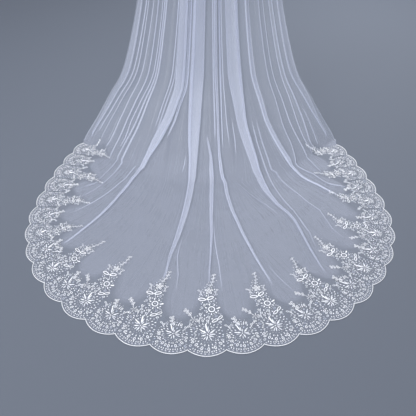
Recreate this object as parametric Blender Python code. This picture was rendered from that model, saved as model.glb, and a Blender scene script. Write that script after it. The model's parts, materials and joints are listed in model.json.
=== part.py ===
# Cathedral bridal veil on a hair comb: one panel of soft net, gathered at the
# comb, hanging behind the wearer and spreading over the floor as a rounded
# train, with a wide lace border and a corded scalloped edge.
# Metres, +Z up. The origin is at the comb, +X is the wearer's right-hand side
# seen from behind, and the train runs towards -Y.

import bpy
import bmesh
import math
from mathutils import Vector

# ---- driving sizes -------------------------------------------------------
COMB_HEIGHT = 1.60          # comb above the floor
NET_WALL = 0.0015           # wall of the net panel
LACE_WALL = 0.0012          # wall of the lace border
SEAM_GAP = 0.0003           # gap between pieces that touch
SEAM_SLANT = 2.0            # rows that lead away at a slant need a longer step to keep the gap
CORD_RADIUS = 0.0012        # edge cord
CORD_SIDES = 6
CORD_MITRE_LIMIT = 0.5      # least cosine of half a corner's turn, so a cusp stays short

COMB_WIDTH = 0.092
COMB_TOOTH_LENGTH = 0.042
COMB_TOOTH_COUNT = 16
COMB_TOOTH_ROWS = 3         # a tooth curves in this many straight steps
COMB_THICKNESS = 0.0020
COMB_SPINE_HEIGHT = 0.006
COMB_TOOTH_CURVE = 0.007    # how far the tooth tips reach towards the head

HEADING_WIDTH = 0.094       # binding that holds the gathers
HEADING_HEIGHT = 0.013
HEADING_DEPTH = 0.006
HEADING_PLEATS = 16
HEADING_PLEAT_DEPTH = 0.0012

# ---- the train's outline on the floor: four quarter ovals -----------------
HEM_CENTRE = (-0.017, -0.796)
HEM_LEFT = 0.746            # reach of each quarter from the centre
HEM_RIGHT = 0.781
HEM_NEAR = 0.686
HEM_FAR = 1.148
HEM_ROUNDNESS = 1.918       # 2 is a true oval
HEM_FROM = math.radians(137.4)
HEM_TO = math.radians(400.2)
HEM_SAMPLES = 480
HEM_TANGENT_STEP = 0.004    # in u, to each side
SIDE_SHORTENING = 0.10      # scallops are gathered closer towards the sides

SCALLOPS = 29
SCALLOP_DEPTH = 0.023
SCALLOP_SHAPE = 0.8         # power of the sine: under 1 is fuller

# ---- how the net hangs: one row for each level ----------------------------
# (height above the floor, half width, y at the middle, y at the side edges)
LEVELS = (
    (1.5918, 0.045, -0.0045, -0.0045),
    (1.575, 0.052, -0.024, -0.018),
    (1.52, 0.082, -0.066, -0.030),
    (1.38, 0.150, -0.115, -0.010),
    (1.15, 0.225, -0.140, 0.010),
    (0.85, 0.295, -0.150, -0.005),
    (0.60, 0.350, -0.165, -0.045),
    (0.367, 0.4215, -0.205, -0.110),
    (0.24, 0.500, -0.270, -0.135),
    (0.12, 0.575, -0.370, -0.155),
    (0.04, 0.630, -0.470, -0.165),
    (0.0, 0.652, -0.560, -0.175),
)
FRAME_LEVEL = 7             # the level where the folds' upper places are given
TOUCH_LEVEL = len(LEVELS) - 1
FLOOR_STEPS = (0.12, 0.26, 0.42, 0.58, 0.72, 0.86, 1.0)
BETWEEN_LEVELS = (7, 8, 9, 10)    # levels with a half step after them

# ---- the largest folds: one row for each ----------------------------------
# (name, hem column, u at the frame level, u where it lands, half width, height)
# u runs from -1 at the left edge to 1 at the right edge
FOLDS = (
    ("left_edge", 3, -0.90, -0.90, 0.010, 0.010),
    ("left_outer", 6, -0.76, -0.74, 0.011, 0.012),
    ("left_twin", 10, -0.61, -0.63, 0.012, 0.014),
    ("left_broad", 15, -0.306, -0.49, 0.027, 0.016),
    ("centre_left", 26, -0.127, -0.166, 0.026, 0.014),
    ("centre", 29, -0.02, 0.0, 0.010, 0.010),
    ("centre_right", 33, 0.087, 0.095, 0.010, 0.012),
    ("right_broad", 38, 0.243, 0.337, 0.026, 0.016),
    ("right_inner", 44, 0.36, 0.46, 0.011, 0.010),
    ("right_second", 50, 0.474, 0.571, 0.016, 0.014),
    ("right_outer", 53, 0.72, 0.75, 0.011, 0.012),
    ("right_edge", 56, 0.90, 0.90, 0.010, 0.010),
)
FOLD_WIDEST = 0.045         # half width of a fold, at most this in u
FOLD_FROM_LEVEL = 3.0       # folds grow out of the gathers down to here
FOLD_FADE = 0.20            # a fold sinks over this length
FOLD_STOP = 0.13            # and ends this far from the lace's tall motifs

# ---- lace border: reach inwards from the hem ------------------------------
LACE_LOW = 0.125            # between two tall motifs
LACE_TALL = 0.330           # at a tall motif in front
LACE_TALL_SIDE = 0.200      # at the last tall motif of each side
LACE_TAPER_POWER = 1.5      # how late the tall motifs shorten towards the sides
LACE_PEAK_POWER = 1.4       # over 1 makes a motif's point slimmer
LACE_STEPS = 4              # points for each scallop
LACE_ROWS = (0.0, 0.30, 0.65, 1.0)
LACE_FLAT_SHARE = 0.92      # the border stays on the part that lies on the floor

COLUMNS = 2 * SCALLOPS      # one column at each cusp and each scallop's middle


def clear_scene():
    for item in list(bpy.data.objects):
        bpy.data.objects.remove(item, do_unlink=True)


def make_material(name, colour, roughness, metallic=0.0, alpha=1.0):
    material = bpy.data.materials.new(name)
    material.use_nodes = True
    shader = material.node_tree.nodes["Principled BSDF"]
    shader.inputs["Base Color"].default_value = (*colour, 1.0)
    shader.inputs["Roughness"].default_value = roughness
    shader.inputs["Metallic"].default_value = metallic
    shader.inputs["Alpha"].default_value = alpha
    return material


def add_object(name, mesh, material):
    piece = bpy.data.objects.new(name, mesh)
    mesh.materials.append(material)
    bpy.context.scene.collection.objects.link(piece)
    return piece


def mesh_from(name, points, faces):
    mesh = bpy.data.meshes.new(name)
    mesh.from_pydata([tuple(point) for point in points], [], faces)
    mesh.update()
    return mesh


# ---- outline of the train -------------------------------------------------
def oval_point(angle):
    """A point of the hem's outline, in the direction of the angle."""
    across, along = math.cos(angle), math.sin(angle)
    reach_x = HEM_LEFT if across < 0 else HEM_RIGHT
    reach_y = HEM_NEAR if along < 0 else HEM_FAR
    total = abs(across / reach_x) ** HEM_ROUNDNESS + abs(along / reach_y) ** HEM_ROUNDNESS
    radius = total ** (-1.0 / HEM_ROUNDNESS)
    return Vector((HEM_CENTRE[0] + radius * across, HEM_CENTRE[1] + radius * along))


def measured_hem():
    """Outline samples, each with its distance along the hem."""
    rows = []
    length = 0.0
    for step in range(HEM_SAMPLES + 1):
        point = oval_point(HEM_FROM + (HEM_TO - HEM_FROM) * step / HEM_SAMPLES)
        if rows:
            length += (point - rows[-1][1]).length
        rows.append((length, point))
    return rows


HEM = measured_hem()
HEM_LENGTH = HEM[-1][0]


def hem_point(u):
    """The hem at u, -1 at its left end and 1 at its right end."""
    share = 0.5 + 0.5 * ((1.0 + SIDE_SHORTENING) * u - SIDE_SHORTENING * u ** 3)
    distance = min(max(share, 0.0), 1.0) * HEM_LENGTH
    for (low, start), (high, end) in zip(HEM, HEM[1:]):
        if distance <= high:
            return start.lerp(end, (distance - low) / (high - low))
    return HEM[-1][1]


def hem_outward(u):
    """Unit vector that points out of the train at u."""
    along = hem_point(min(u + HEM_TANGENT_STEP, 1.0)) - hem_point(max(u - HEM_TANGENT_STEP, -1.0))
    return Vector((along.y, -along.x)).normalized()


def scallop_reach(u):
    """How far the scalloped edge stands out of the hem's outline at u."""
    phase = (u + 1.0) * 0.5 * SCALLOPS
    return SCALLOP_DEPTH * abs(math.sin(math.pi * phase)) ** SCALLOP_SHAPE


# ---- the net's surface ----------------------------------------------------
def level_point(level, u):
    height, half_width, y_middle, y_side = LEVELS[level]
    return Vector((half_width * u, y_middle + (y_side - y_middle) * u * u, height))


def between(level, share, u):
    """Smooth point between two levels, on a curve through four of them."""
    a, b, c, d = (level_point(min(max(level + k, 0), TOUCH_LEVEL), u) for k in (-1, 0, 1, 2))
    t = share
    point = 0.5 * ((2 * b) + (c - a) * t + (2 * a - 5 * b + 4 * c - d) * t * t
                   + (3 * b - a - 3 * c + d) * t ** 3)
    point.z = max(point.z, 0.0)
    return point


def floor_point(share, u):
    """A point of the part that lies on the floor: it leaves the landing line the
    way the net falls, and meets the hem square."""
    landing = level_point(TOUCH_LEVEL, u).to_2d()
    falling = landing - level_point(TOUCH_LEVEL - 1, u).to_2d()
    hem = hem_point(u)
    stretch = (hem - landing).length
    start = falling.normalized() * stretch
    end = hem_outward(u) * stretch
    g = share
    flat = ((2 * g ** 3 - 3 * g ** 2 + 1) * landing + (g ** 3 - 2 * g ** 2 + g) * start
            + (3 * g ** 2 - 2 * g ** 3) * hem + (g ** 3 - g ** 2) * end)
    return Vector((flat.x, flat.y, 0.0))


def row_stations():
    """The panel's rows from the comb to the hem: level, share, or floor share."""
    rows = []
    for level in range(TOUCH_LEVEL):
        rows.append(("hang", level, 0.0))
        if level in BETWEEN_LEVELS:
            rows.append(("hang", level, 0.5))
    rows.append(("hang", TOUCH_LEVEL, 0.0))
    rows.extend(("floor", 0, share) for share in FLOOR_STEPS)
    return rows


def base_point(station, u):
    kind, level, share = station
    if kind == "floor":
        return floor_point(share, u)
    return between(level, share, u) if share else level_point(level, u)


def smooth_step(value):
    value = min(max(value, 0.0), 1.0)
    return value * value * (3.0 - 2.0 * value)


def floor_stretch(u):
    """Length of net that lies on the floor at u."""
    return (hem_point(u) - level_point(TOUCH_LEVEL, u).to_2d()).length


def fold_strength(station, u):
    """0 where the folds are flat, 1 where they stand to their full height."""
    kind, level, share = station
    stretch = floor_stretch(u)
    to_hem = stretch * (1.0 - share) if kind == "floor" else stretch + base_point(station, u).z
    before_lace = smooth_step((to_hem - min(tall_reach(u) + FOLD_STOP, stretch)) / FOLD_FADE)
    gathered = 1.0 if kind == "floor" else smooth_step((level + share) / FOLD_FROM_LEVEL)
    return before_lace * gathered


def fold_place(fold, station):
    """Centre u of a fold at a row: straight between its three given places."""
    _, column, u_frame, u_landing, _, _ = fold
    u_hem = column_u(column)
    kind, level, share = station
    if kind == "floor":
        return u_landing + (u_hem - u_landing) * share
    at = level + share
    if at <= FRAME_LEVEL:
        return u_frame
    return u_frame + (u_landing - u_frame) * (at - FRAME_LEVEL) / (TOUCH_LEVEL - FRAME_LEVEL)


def column_u(column):
    return -1.0 + 2.0 * column / COLUMNS


def row_columns(station):
    """u and lift of every column at a row. A fold owns three columns, its two
    feet and its crest, and the columns between the folds share the rest."""
    half_width = (base_point(station, 1.0) - base_point(station, -1.0)).length * 0.5
    pins = {0: (-1.0, 0.0), COLUMNS: (1.0, 0.0)}
    for fold in FOLDS:
        column, foot, height = fold[1], fold[4], fold[5]
        centre = fold_place(fold, station)
        strength = fold_strength(station, centre)
        even_foot = 2.0 / COLUMNS
        reach = even_foot + (min(foot / half_width, FOLD_WIDEST) - even_foot) * strength
        pins[column - 1] = (centre - reach, 0.0)
        pins[column] = (centre, height * strength)
        pins[column + 1] = (centre + reach, 0.0)
    known = sorted(pins)
    columns = []
    for low, high in zip(known, known[1:]):
        for column in range(low, high):
            share = (column - low) / (high - low)
            u = pins[low][0] + (pins[high][0] - pins[low][0]) * share
            columns.append((u, pins[low][1] if column == low else 0.0))
    columns.append(pins[COLUMNS])
    return columns


def on_floor(point):
    return Vector((point.x, point.y, point.z - COMB_HEIGHT))


def net_grid():
    """Rows of the panel's middle surface, with the folds lifted."""
    stations = row_stations()
    smooth = [[base_point(station, u) for u, _ in row_columns(station)] for station in stations]
    grid = []
    normals = []
    for row, station in enumerate(stations):
        points = []
        outs = []
        above = smooth[max(row - 1, 0)]
        below = smooth[min(row + 1, len(stations) - 1)]
        for column, (u, lift) in enumerate(row_columns(station)):
            left = smooth[row][max(column - 1, 0)]
            right = smooth[row][min(column + 1, COLUMNS)]
            outward = (right - left).cross(above[column] - below[column])
            outward = -outward.normalized() if outward.y > 0 or outward.z < 0 else outward.normalized()
            if station[0] == "floor" or station[1] == TOUCH_LEVEL:
                outward = Vector((0, 0, 1))
            point = smooth[row][column] + outward * lift
            if station[0] == "floor" and station[2] == 1.0:
                edge = hem_outward(u) * scallop_reach(u)
                point = point + Vector((edge.x, edge.y, 0.0))
            points.append(point)
            outs.append(outward)
        grid.append(points)
        normals.append(outs)
    return grid, normals


def wall_between(name, outer, inner):
    """Closed wall between two grids of points with the same rows and columns."""
    rows, columns = len(outer), len(outer[0])
    points = [point for row in outer for point in row] + [point for row in inner for point in row]
    half = rows * columns

    def at(row, column, side):
        return side * half + row * columns + column

    faces = []
    for row in range(rows - 1):
        for column in range(columns - 1):
            a, b = (row, column), (row, column + 1)
            c, d = (row + 1, column + 1), (row + 1, column)
            faces.append((at(*a, 0), at(*d, 0), at(*c, 0), at(*b, 0)))
            faces.append((at(*a, 1), at(*b, 1), at(*c, 1), at(*d, 1)))
    for row in range(rows - 1):
        faces.append((at(row, 0, 0), at(row, 0, 1), at(row + 1, 0, 1), at(row + 1, 0, 0)))
        last = columns - 1
        faces.append((at(row, last, 0), at(row + 1, last, 0), at(row + 1, last, 1), at(row, last, 1)))
    for column in range(columns - 1):
        faces.append((at(0, column, 0), at(0, column + 1, 0), at(0, column + 1, 1), at(0, column, 1)))
        last = rows - 1
        faces.append((at(last, column, 0), at(last, column, 1),
                      at(last, column + 1, 1), at(last, column + 1, 0)))
    mesh = mesh_from(name, points, faces)
    outwards(mesh)
    return mesh


def outwards(mesh):
    """Turn the faces of a closed mesh out, and cut them into triangles."""
    shape = bmesh.new()
    shape.from_mesh(mesh)
    bmesh.ops.triangulate(shape, faces=shape.faces[:])
    bmesh.ops.recalc_face_normals(shape, faces=shape.faces[:])
    if shape.calc_volume(signed=True) < 0:
        bmesh.ops.reverse_faces(shape, faces=shape.faces[:])
    shape.to_mesh(mesh)
    shape.free()


def net_walls(grid, normals):
    """Outer and inner points of the wall along a grid of the net."""
    outer = []
    inner = []
    half = NET_WALL * 0.5
    for points, outs in zip(grid, normals):
        outer.append([on_floor(p + Vector((0, 0, half)) + n * half) for p, n in zip(points, outs)])
        inner.append([on_floor(p + Vector((0, 0, half)) - n * half) for p, n in zip(points, outs)])
    return outer, inner


def make_net(material):
    """The panel in two stretches that meet where it lands: the fall and the train."""
    grid, normals = net_grid()
    landing = row_stations().index(("hang", TOUCH_LEVEL, 0.0))
    fall = net_walls(grid[:landing + 1], normals[:landing + 1])
    add_object("net_fall", wall_between("net_fall", *fall), material)
    first = []
    for point, after in zip(grid[landing], grid[landing + 1]):
        first.append(point + (after - point).normalized() * SEAM_GAP * SEAM_SLANT)
    train = net_walls([first] + grid[landing + 1:], normals[landing:])
    add_object("net_train", wall_between("net_train", *train), material)


# ---- lace border and edge cord --------------------------------------------
def tall_reach(u):
    return LACE_TALL + (LACE_TALL_SIDE - LACE_TALL) * abs(u) ** LACE_TAPER_POWER


def lace_reach(u):
    """Inward reach of the lace: a point above every other scallop."""
    phase = (u + 1.0) * 0.5 * SCALLOPS
    nearest = 2.0 * round((phase - 0.5) / 2.0) + 0.5
    away = min(abs(phase - nearest), 1.0)
    peak = (1.0 - away) ** LACE_PEAK_POWER
    wanted = LACE_LOW + (tall_reach(u) - LACE_LOW) * peak
    return min(wanted, floor_stretch(u) * LACE_FLAT_SHARE)


def lace_point(u, share):
    """A point of the lace: share 0 on the scalloped edge, 1 at its inner reach."""
    if share == 0.0:
        edge = hem_point(u) + hem_outward(u) * scallop_reach(u)
        return Vector((edge.x, edge.y, 0.0))
    return floor_point(1.0 - share * lace_reach(u) / floor_stretch(u), u)


def make_lace(material):
    steps = SCALLOPS * LACE_STEPS
    low = NET_WALL + SEAM_GAP
    outer = []
    inner = []
    for share in reversed(LACE_ROWS):
        row = [lace_point(-1.0 + 2.0 * step / steps, share) for step in range(steps + 1)]
        outer.append([on_floor(point + Vector((0, 0, low + LACE_WALL))) for point in row])
        inner.append([on_floor(point + Vector((0, 0, low))) for point in row])
    return add_object("lace_border", wall_between("lace_border", outer, inner), material)


def make_cord(material):
    steps = SCALLOPS * LACE_STEPS
    edge = [lace_point(-1.0 + 2.0 * step / steps, 0.0) for step in range(steps + 1)]
    rings = []
    for step, point in enumerate(edge):
        before = edge[max(step - 1, 0)]
        after = edge[min(step + 1, steps)]
        first = (point - before).normalized() if step else (after - point).normalized()
        second = (after - point).normalized() if step < steps else first
        along = (first + second).normalized()
        out = Vector((along.y, -along.x, 0.0))
        mitre = 1.0 / max(along.dot(first), CORD_MITRE_LIMIT)
        centre = point + out * (CORD_RADIUS + SEAM_GAP) * mitre
        centre.z = CORD_RADIUS + SEAM_GAP
        ring = []
        for side in range(CORD_SIDES):
            angle = 2.0 * math.pi * side / CORD_SIDES
            ring.append(on_floor(centre + out * math.cos(angle) * CORD_RADIUS * mitre
                                 + Vector((0, 0, math.sin(angle) * CORD_RADIUS))))
        rings.append(ring)
    points = [point for ring in rings for point in ring]
    faces = []
    for step in range(steps):
        for side in range(CORD_SIDES):
            near = (side + 1) % CORD_SIDES
            a, b = step * CORD_SIDES, (step + 1) * CORD_SIDES
            faces.append((a + side, a + near, b + near, b + side))
    faces.append(tuple(range(CORD_SIDES)))
    faces.append(tuple(steps * CORD_SIDES + side for side in reversed(range(CORD_SIDES))))
    mesh = mesh_from("edge_cord", points, faces)
    outwards(mesh)
    return add_object("edge_cord", mesh, material)


# ---- comb and gathered heading --------------------------------------------
def make_comb(material):
    """A flat comb: one strip for the spine and one for each tooth."""
    pitch = COMB_WIDTH / (2 * COMB_TOOTH_COUNT - 1)
    top = COMB_SPINE_HEIGHT * 0.5
    heights = [top]
    for step in range(COMB_TOOTH_ROWS + 1):
        heights.append(-top - COMB_TOOTH_LENGTH * step / COMB_TOOTH_ROWS)
    points = []
    faces = []
    for row, height in enumerate(heights):
        down = max(-top - height, 0.0) / COMB_TOOTH_LENGTH
        for line in range(2 * COMB_TOOTH_COUNT):
            points.append((-COMB_WIDTH * 0.5 + pitch * line, COMB_TOOTH_CURVE * down ** 2, height))
    count = 2 * COMB_TOOTH_COUNT
    for row in range(len(heights) - 1):
        for line in range(count - 1):
            if row == 0 or line % 2 == 0:
                a = row * count + line
                faces.append((a, a + count, a + count + 1, a + 1))
    mesh = mesh_from("comb", points, faces)
    piece = add_object("comb", mesh, material)
    wall = piece.modifiers.new("thickness", "SOLIDIFY")
    wall.thickness = COMB_THICKNESS
    wall.offset = 0.0
    return piece


def make_heading(material):
    """The bound gathers on the comb's spine: a bar with a pleated outer face."""
    half = HEADING_WIDTH * 0.5
    near = -COMB_THICKNESS * 0.5 - SEAM_GAP
    lines = 2 * HEADING_PLEATS
    outer = []
    inner = []
    for height in (HEADING_HEIGHT * 0.5, -HEADING_HEIGHT * 0.5):
        front = []
        back = []
        for line in range(lines + 1):
            x = -half + HEADING_WIDTH * line / lines
            pleat = HEADING_PLEAT_DEPTH if line % 2 else 0.0
            front.append(Vector((x, near - HEADING_DEPTH + pleat, height)))
            back.append(Vector((x, near, height)))
        outer.append(front)
        inner.append(back)
    return add_object("gathered_heading", wall_between("gathered_heading", outer, inner), material)


def main():
    clear_scene()
    net = make_material("net", (0.80, 0.84, 0.94), 0.75, alpha=0.4)
    lace = make_material("lace", (0.90, 0.91, 0.95), 0.55)
    cord = make_material("cord", (0.93, 0.94, 0.97), 0.45)
    binding = make_material("binding", (0.88, 0.90, 0.95), 0.50)
    metal = make_material("comb_metal", (0.78, 0.79, 0.82), 0.25, metallic=1.0)
    make_comb(metal)
    make_heading(binding)
    make_net(net)
    make_lace(lace)
    make_cord(cord)


main()
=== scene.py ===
import json
import math

import bpy
import numpy as np
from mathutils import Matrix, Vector
from mathutils.bvhtree import BVHTree

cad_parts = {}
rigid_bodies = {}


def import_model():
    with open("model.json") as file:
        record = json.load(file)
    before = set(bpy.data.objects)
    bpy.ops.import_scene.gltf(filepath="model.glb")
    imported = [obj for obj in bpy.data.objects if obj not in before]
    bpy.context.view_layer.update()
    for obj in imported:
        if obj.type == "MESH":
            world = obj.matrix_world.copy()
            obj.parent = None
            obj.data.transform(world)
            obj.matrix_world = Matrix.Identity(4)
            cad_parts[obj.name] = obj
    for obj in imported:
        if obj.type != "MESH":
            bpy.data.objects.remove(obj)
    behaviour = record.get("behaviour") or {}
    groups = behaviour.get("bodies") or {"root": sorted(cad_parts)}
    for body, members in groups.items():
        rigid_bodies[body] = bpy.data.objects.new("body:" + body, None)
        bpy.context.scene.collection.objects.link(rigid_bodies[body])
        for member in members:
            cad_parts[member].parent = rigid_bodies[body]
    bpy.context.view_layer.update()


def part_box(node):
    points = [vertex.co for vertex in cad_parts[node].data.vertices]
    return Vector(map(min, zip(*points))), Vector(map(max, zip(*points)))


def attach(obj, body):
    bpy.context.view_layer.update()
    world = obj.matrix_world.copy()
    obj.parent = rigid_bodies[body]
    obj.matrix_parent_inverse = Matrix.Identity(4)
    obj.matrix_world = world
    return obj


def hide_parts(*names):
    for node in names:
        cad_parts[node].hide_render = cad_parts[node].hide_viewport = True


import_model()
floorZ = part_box("net_train")[0].z
mm = 0.001


def smooth(value):
    value = np.clip(value, 0.0, 1.0)
    return value * value * (3.0 - 2.0 * value)


def between(way, start, rise, end, fall):
    # grows from 0 to 1 after the start, and shrinks back to 0 after the end
    return float(smooth((way - start) / rise) * (1.0 - smooth((way - end) / fall)))


def distances(line):
    # how far each point of a line lies from its start, measured along it
    return np.concatenate([[0.0], np.cumsum(np.linalg.norm(np.diff(line, axis=0), axis=1))])


def unit(vectors):
    return vectors / np.linalg.norm(vectors, axis=-1, keepdims=True)


def rightOf(ahead):
    return np.stack([ahead[..., 1], -ahead[..., 0]], -1)


def circle(count):
    return np.linspace(0.0, 2.0 * math.pi, count, endpoint=False)


def sampled(line, marks, places):
    # points of a flat line at these places; marks are the places of its own points
    return np.stack([np.interp(places, marks, line[:, k]) for k in (0, 1)], -1)


def polar(x, y, radius, degrees):
    angle = math.radians(degrees)
    return x + radius * math.cos(angle), y + radius * math.sin(angle)


def addObject(name, data):
    thing = bpy.data.objects.new(name, data)
    bpy.context.scene.collection.objects.link(thing)
    return thing


def newMesh(name, points, corners, sizes):
    # corners lists the points of one face after another, sizes how many each face has
    mesh = bpy.data.meshes.new(name)
    mesh.vertices.add(len(points))
    mesh.vertices.foreach_set("co", np.asarray(points, np.float32).ravel())
    mesh.loops.add(len(corners))
    mesh.loops.foreach_set("vertex_index", np.asarray(corners, np.int32))
    mesh.polygons.add(len(sizes))
    mesh.polygons.foreach_set("loop_start", (np.cumsum(sizes) - sizes).astype(np.int32))
    mesh.update(calc_edges=True)
    mesh.shade_smooth()
    return mesh


def drawnMesh(name, points, faces):
    return newMesh(name, points, np.concatenate(faces), np.array([len(face) for face in faces]))


def clothObject(name, points, faces, uv):
    piece = addObject(name, drawnMesh(name, points, faces))
    layer = piece.data.uv_layers.new(name="cloth")
    layer.data.foreach_set("uv", uv.astype(np.float32)[faces.ravel()].ravel())
    return piece


def setMarks(mesh, name, values, kind="FLOAT"):
    # a value for every point, which materials and trees read by its name
    values = values.ravel().astype(np.int32 if kind == "INT" else np.float32)
    mesh.attributes.new(name, kind, "POINT").data.foreach_set("value", values)


def readMesh(mesh):
    # points, faces' sizes, their corners, and the marks along and shade, 1 where there are none
    points = np.zeros(len(mesh.vertices) * 3, np.float32)
    mesh.vertices.foreach_get("co", points)
    sizes = np.zeros(len(mesh.polygons), np.int32)
    mesh.polygons.foreach_get("loop_total", sizes)
    corners = np.zeros(len(mesh.loops), np.int32)
    mesh.loops.foreach_get("vertex_index", corners)
    marks = np.ones((2, len(mesh.vertices)), np.float32)
    for row, name in enumerate(("along", "shade")):
        if name in mesh.attributes:
            mesh.attributes[name].data.foreach_get("value", marks[row])
    return points.reshape(-1, 3).astype(float), sizes, corners, marks


def surfaceOf(piece):
    points, _, corners, _ = readMesh(piece.data)
    return BVHTree.FromPolygons(points.tolist(), corners.reshape(-1, 4).tolist())


def gridFaces(rows, columns):
    row, column = np.mgrid[0:rows - 1, 0:columns - 1]
    a = (row * columns + column).ravel()
    return np.stack([a, a + columns, a + columns + 1, a + 1], 1)


def stripFaces(rows, columns, closed=False):
    faces = []
    for row in range(rows if closed else rows - 1):
        a, b = row * columns, (row + 1) % rows * columns
        faces += [(a + k, a + k + 1, b + k + 1, b + k) for k in range(columns - 1)]
    return faces


def tubeFaces(rings, count, first=0, flip=False):
    faces = []
    for ring in range(rings - 1):
        for k in range(count):
            a, b = (first + ring * count + spot % count for spot in (k, k + 1))
            faces.append((a, a + count, b + count, b) if flip else (a, b, b + count, a + count))
    return faces


def newMaterial(name, look):
    material = bpy.data.materials.new(name)
    material.use_nodes = True
    shader = material.node_tree.nodes["Principled BSDF"]
    shader.inputs["Base Color"].default_value = (*look["colour"], 1.0)
    shader.inputs["Roughness"].default_value = look["roughness"]
    for socket, value in look.get("values", {}).items():
        shader.inputs[socket].default_value = value
    return material, material.node_tree, shader


def addNode(tree, kind, inputs=None, **settings):
    # an input is a value for the socket, or another node's output, which is linked to it
    node = tree.nodes.new(kind)
    for name, value in settings.items():
        setattr(node, name, value)
    for name, value in (inputs or {}).items():
        if isinstance(value, bpy.types.NodeSocket):
            tree.links.new(value, node.inputs[name])
        else:
            node.inputs[name].default_value = value
    return node


def maths(tree, operation, *values, clamp=False):
    node = addNode(tree, "ShaderNodeMath", dict(enumerate(values)), operation=operation, use_clamp=clamp)
    return node.outputs[0]


def mapRange(tree, source, low, high, toLow, toHigh):
    node = addNode(tree, "ShaderNodeMapRange", {
        "Value": source, "From Min": low, "From Max": high, "To Min": toLow, "To Max": toHigh})
    return node.outputs["Result"]


def noise(tree, place, scale, detail, roughness=0.5):
    return addNode(tree, "ShaderNodeTexNoise", {
        "Vector": place, "Scale": scale, "Detail": detail, "Roughness": roughness}).outputs["Fac"]


def attribute(tree, name):
    return addNode(tree, "ShaderNodeAttribute", attribute_name=name).outputs["Fac"]


def clothPlace(tree):
    return addNode(tree, "ShaderNodeUVMap", uv_map="cloth").outputs["UV"]


def objectPlace(tree):
    return addNode(tree, "ShaderNodeTexCoord").outputs["Object"]


def addBump(tree, shader, height, strength, distance):
    bump = addNode(tree, "ShaderNodeBump", {"Strength": strength, "Distance": distance, "Height": height})
    tree.links.new(bump.outputs["Normal"], shader.inputs["Normal"])


def newTree(name, inputs):
    # a Geometry Nodes group, the identifiers of its inputs by name, and the sockets that give them
    tree = bpy.data.node_groups.new(name, "GeometryNodeTree")
    names = {}
    for label, kind in inputs.items():
        socket = tree.interface.new_socket(label, in_out="INPUT", socket_type="NodeSocket" + kind)
        names[label] = socket.identifier
    tree.interface.new_socket("Geometry", in_out="OUTPUT", socket_type="NodeSocketGeometry")
    return tree, names, tree.nodes.new("NodeGroupInput").outputs


def endTree(tree, made, finish):
    real = addNode(tree, "GeometryNodeRealizeInstances", {"Geometry": made})
    paint = addNode(tree, "GeometryNodeSetMaterial", {"Geometry": real.outputs[0], "Material": finish})
    addNode(tree, "NodeGroupOutput", {"Geometry": paint.outputs[0]})


def runTree(name, mesh, tree, names, **values):
    # what the tree makes from the points or the path of this mesh
    holder = addObject(name, mesh)
    modifier = holder.modifiers.new(name, "NODES")
    modifier.node_group = tree
    for label, value in values.items():
        modifier[names[label]] = value
    graph = bpy.context.evaluated_depsgraph_get()
    made = bpy.data.meshes.new_from_object(holder.evaluated_get(graph))
    bpy.data.objects.remove(holder)
    return made


def setPiece(piece, slot, *nodes):
    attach(piece, "root")
    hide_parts(*nodes)


studio = {
    "cameraHeight": 1.50, "cameraBack": 2.54, "cameraSide": -0.008,
    "pitchDown": 39.75, "lens": 46.04, "sensor": 36.0,
    "floorHalf": 45.0, "floorBelow": 0.0004,
    "paint": {"colour": (0.119, 0.137, 0.174), "roughness": 0.85},
    "airColour": (0.50, 0.55, 0.66), "airStrength": 0.29,
    "ceilingStrength": 2.45, "ceilingSpread": 60.0, "ceilingTurn": (44.0, -10.0, 0.0),
    # a soft box above, one low in front from the left, and one behind:
    # place and aim above the floor, size, power
    "boxes": {
        "softTop": ((-0.4, -0.3, 2.9), (0.0, -0.7, 0.0), 3.2, 50.0),
        "softLeft": ((-2.6, -2.6, 1.9), (0.0, -0.5, 0.3), 1.8, 36.0),
        "softBack": ((1.6, 2.4, 2.2), (0.0, -0.5, 0.3), 1.6, 60.0)},
    "sheerLayers": 48,        # layers of net that light passes
}


def setStudio():
    scene = bpy.context.scene
    camera = bpy.data.cameras.new("camera")
    camera.lens, camera.sensor_width = studio["lens"], studio["sensor"]
    scene.camera = addObject("camera", camera)
    scene.camera.location = (studio["cameraSide"], -studio["cameraBack"], floorZ + studio["cameraHeight"])
    scene.camera.rotation_euler = (math.radians(90.0 - studio["pitchDown"]), 0.0, 0.0)

    half, z = studio["floorHalf"], floorZ - studio["floorBelow"]
    corners = [(-half, -half, z), (half, -half, z), (half, half, z), (-half, half, z)]
    floor = addObject("floor", drawnMesh("floor", corners, [(0, 1, 2, 3)]))
    floor.data.materials.append(newMaterial("floorPaint", studio["paint"])[0])

    scene.world = bpy.data.worlds.new("studioAir")
    scene.world.use_nodes = True
    air = scene.world.node_tree.nodes["Background"]
    air.inputs["Color"].default_value = (*studio["airColour"], 1.0)
    air.inputs["Strength"].default_value = studio["airStrength"]

    # even light everywhere, as from a wide white ceiling
    ceiling = bpy.data.lights.new("softCeiling", "SUN")
    ceiling.energy = studio["ceilingStrength"]
    ceiling.angle = math.radians(studio["ceilingSpread"])
    addObject("softCeiling", ceiling).rotation_euler = [math.radians(turn) for turn in studio["ceilingTurn"]]

    onFloor = Vector((0.0, 0.0, floorZ))
    for name, (place, aim, size, power) in studio["boxes"].items():
        light = bpy.data.lights.new(name, "AREA")
        light.size, light.energy = size, power
        lamp = addObject(name, light)
        lamp.location = Vector(place) + onFloor
        lamp.rotation_euler = (Vector(aim) - Vector(place)).to_track_quat("-Z", "Y").to_euler()
    scene.cycles.transparent_max_bounces = studio["sheerLayers"]
    scene.view_settings.view_transform = "Standard"
    print("studio set")


setStudio()


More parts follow.
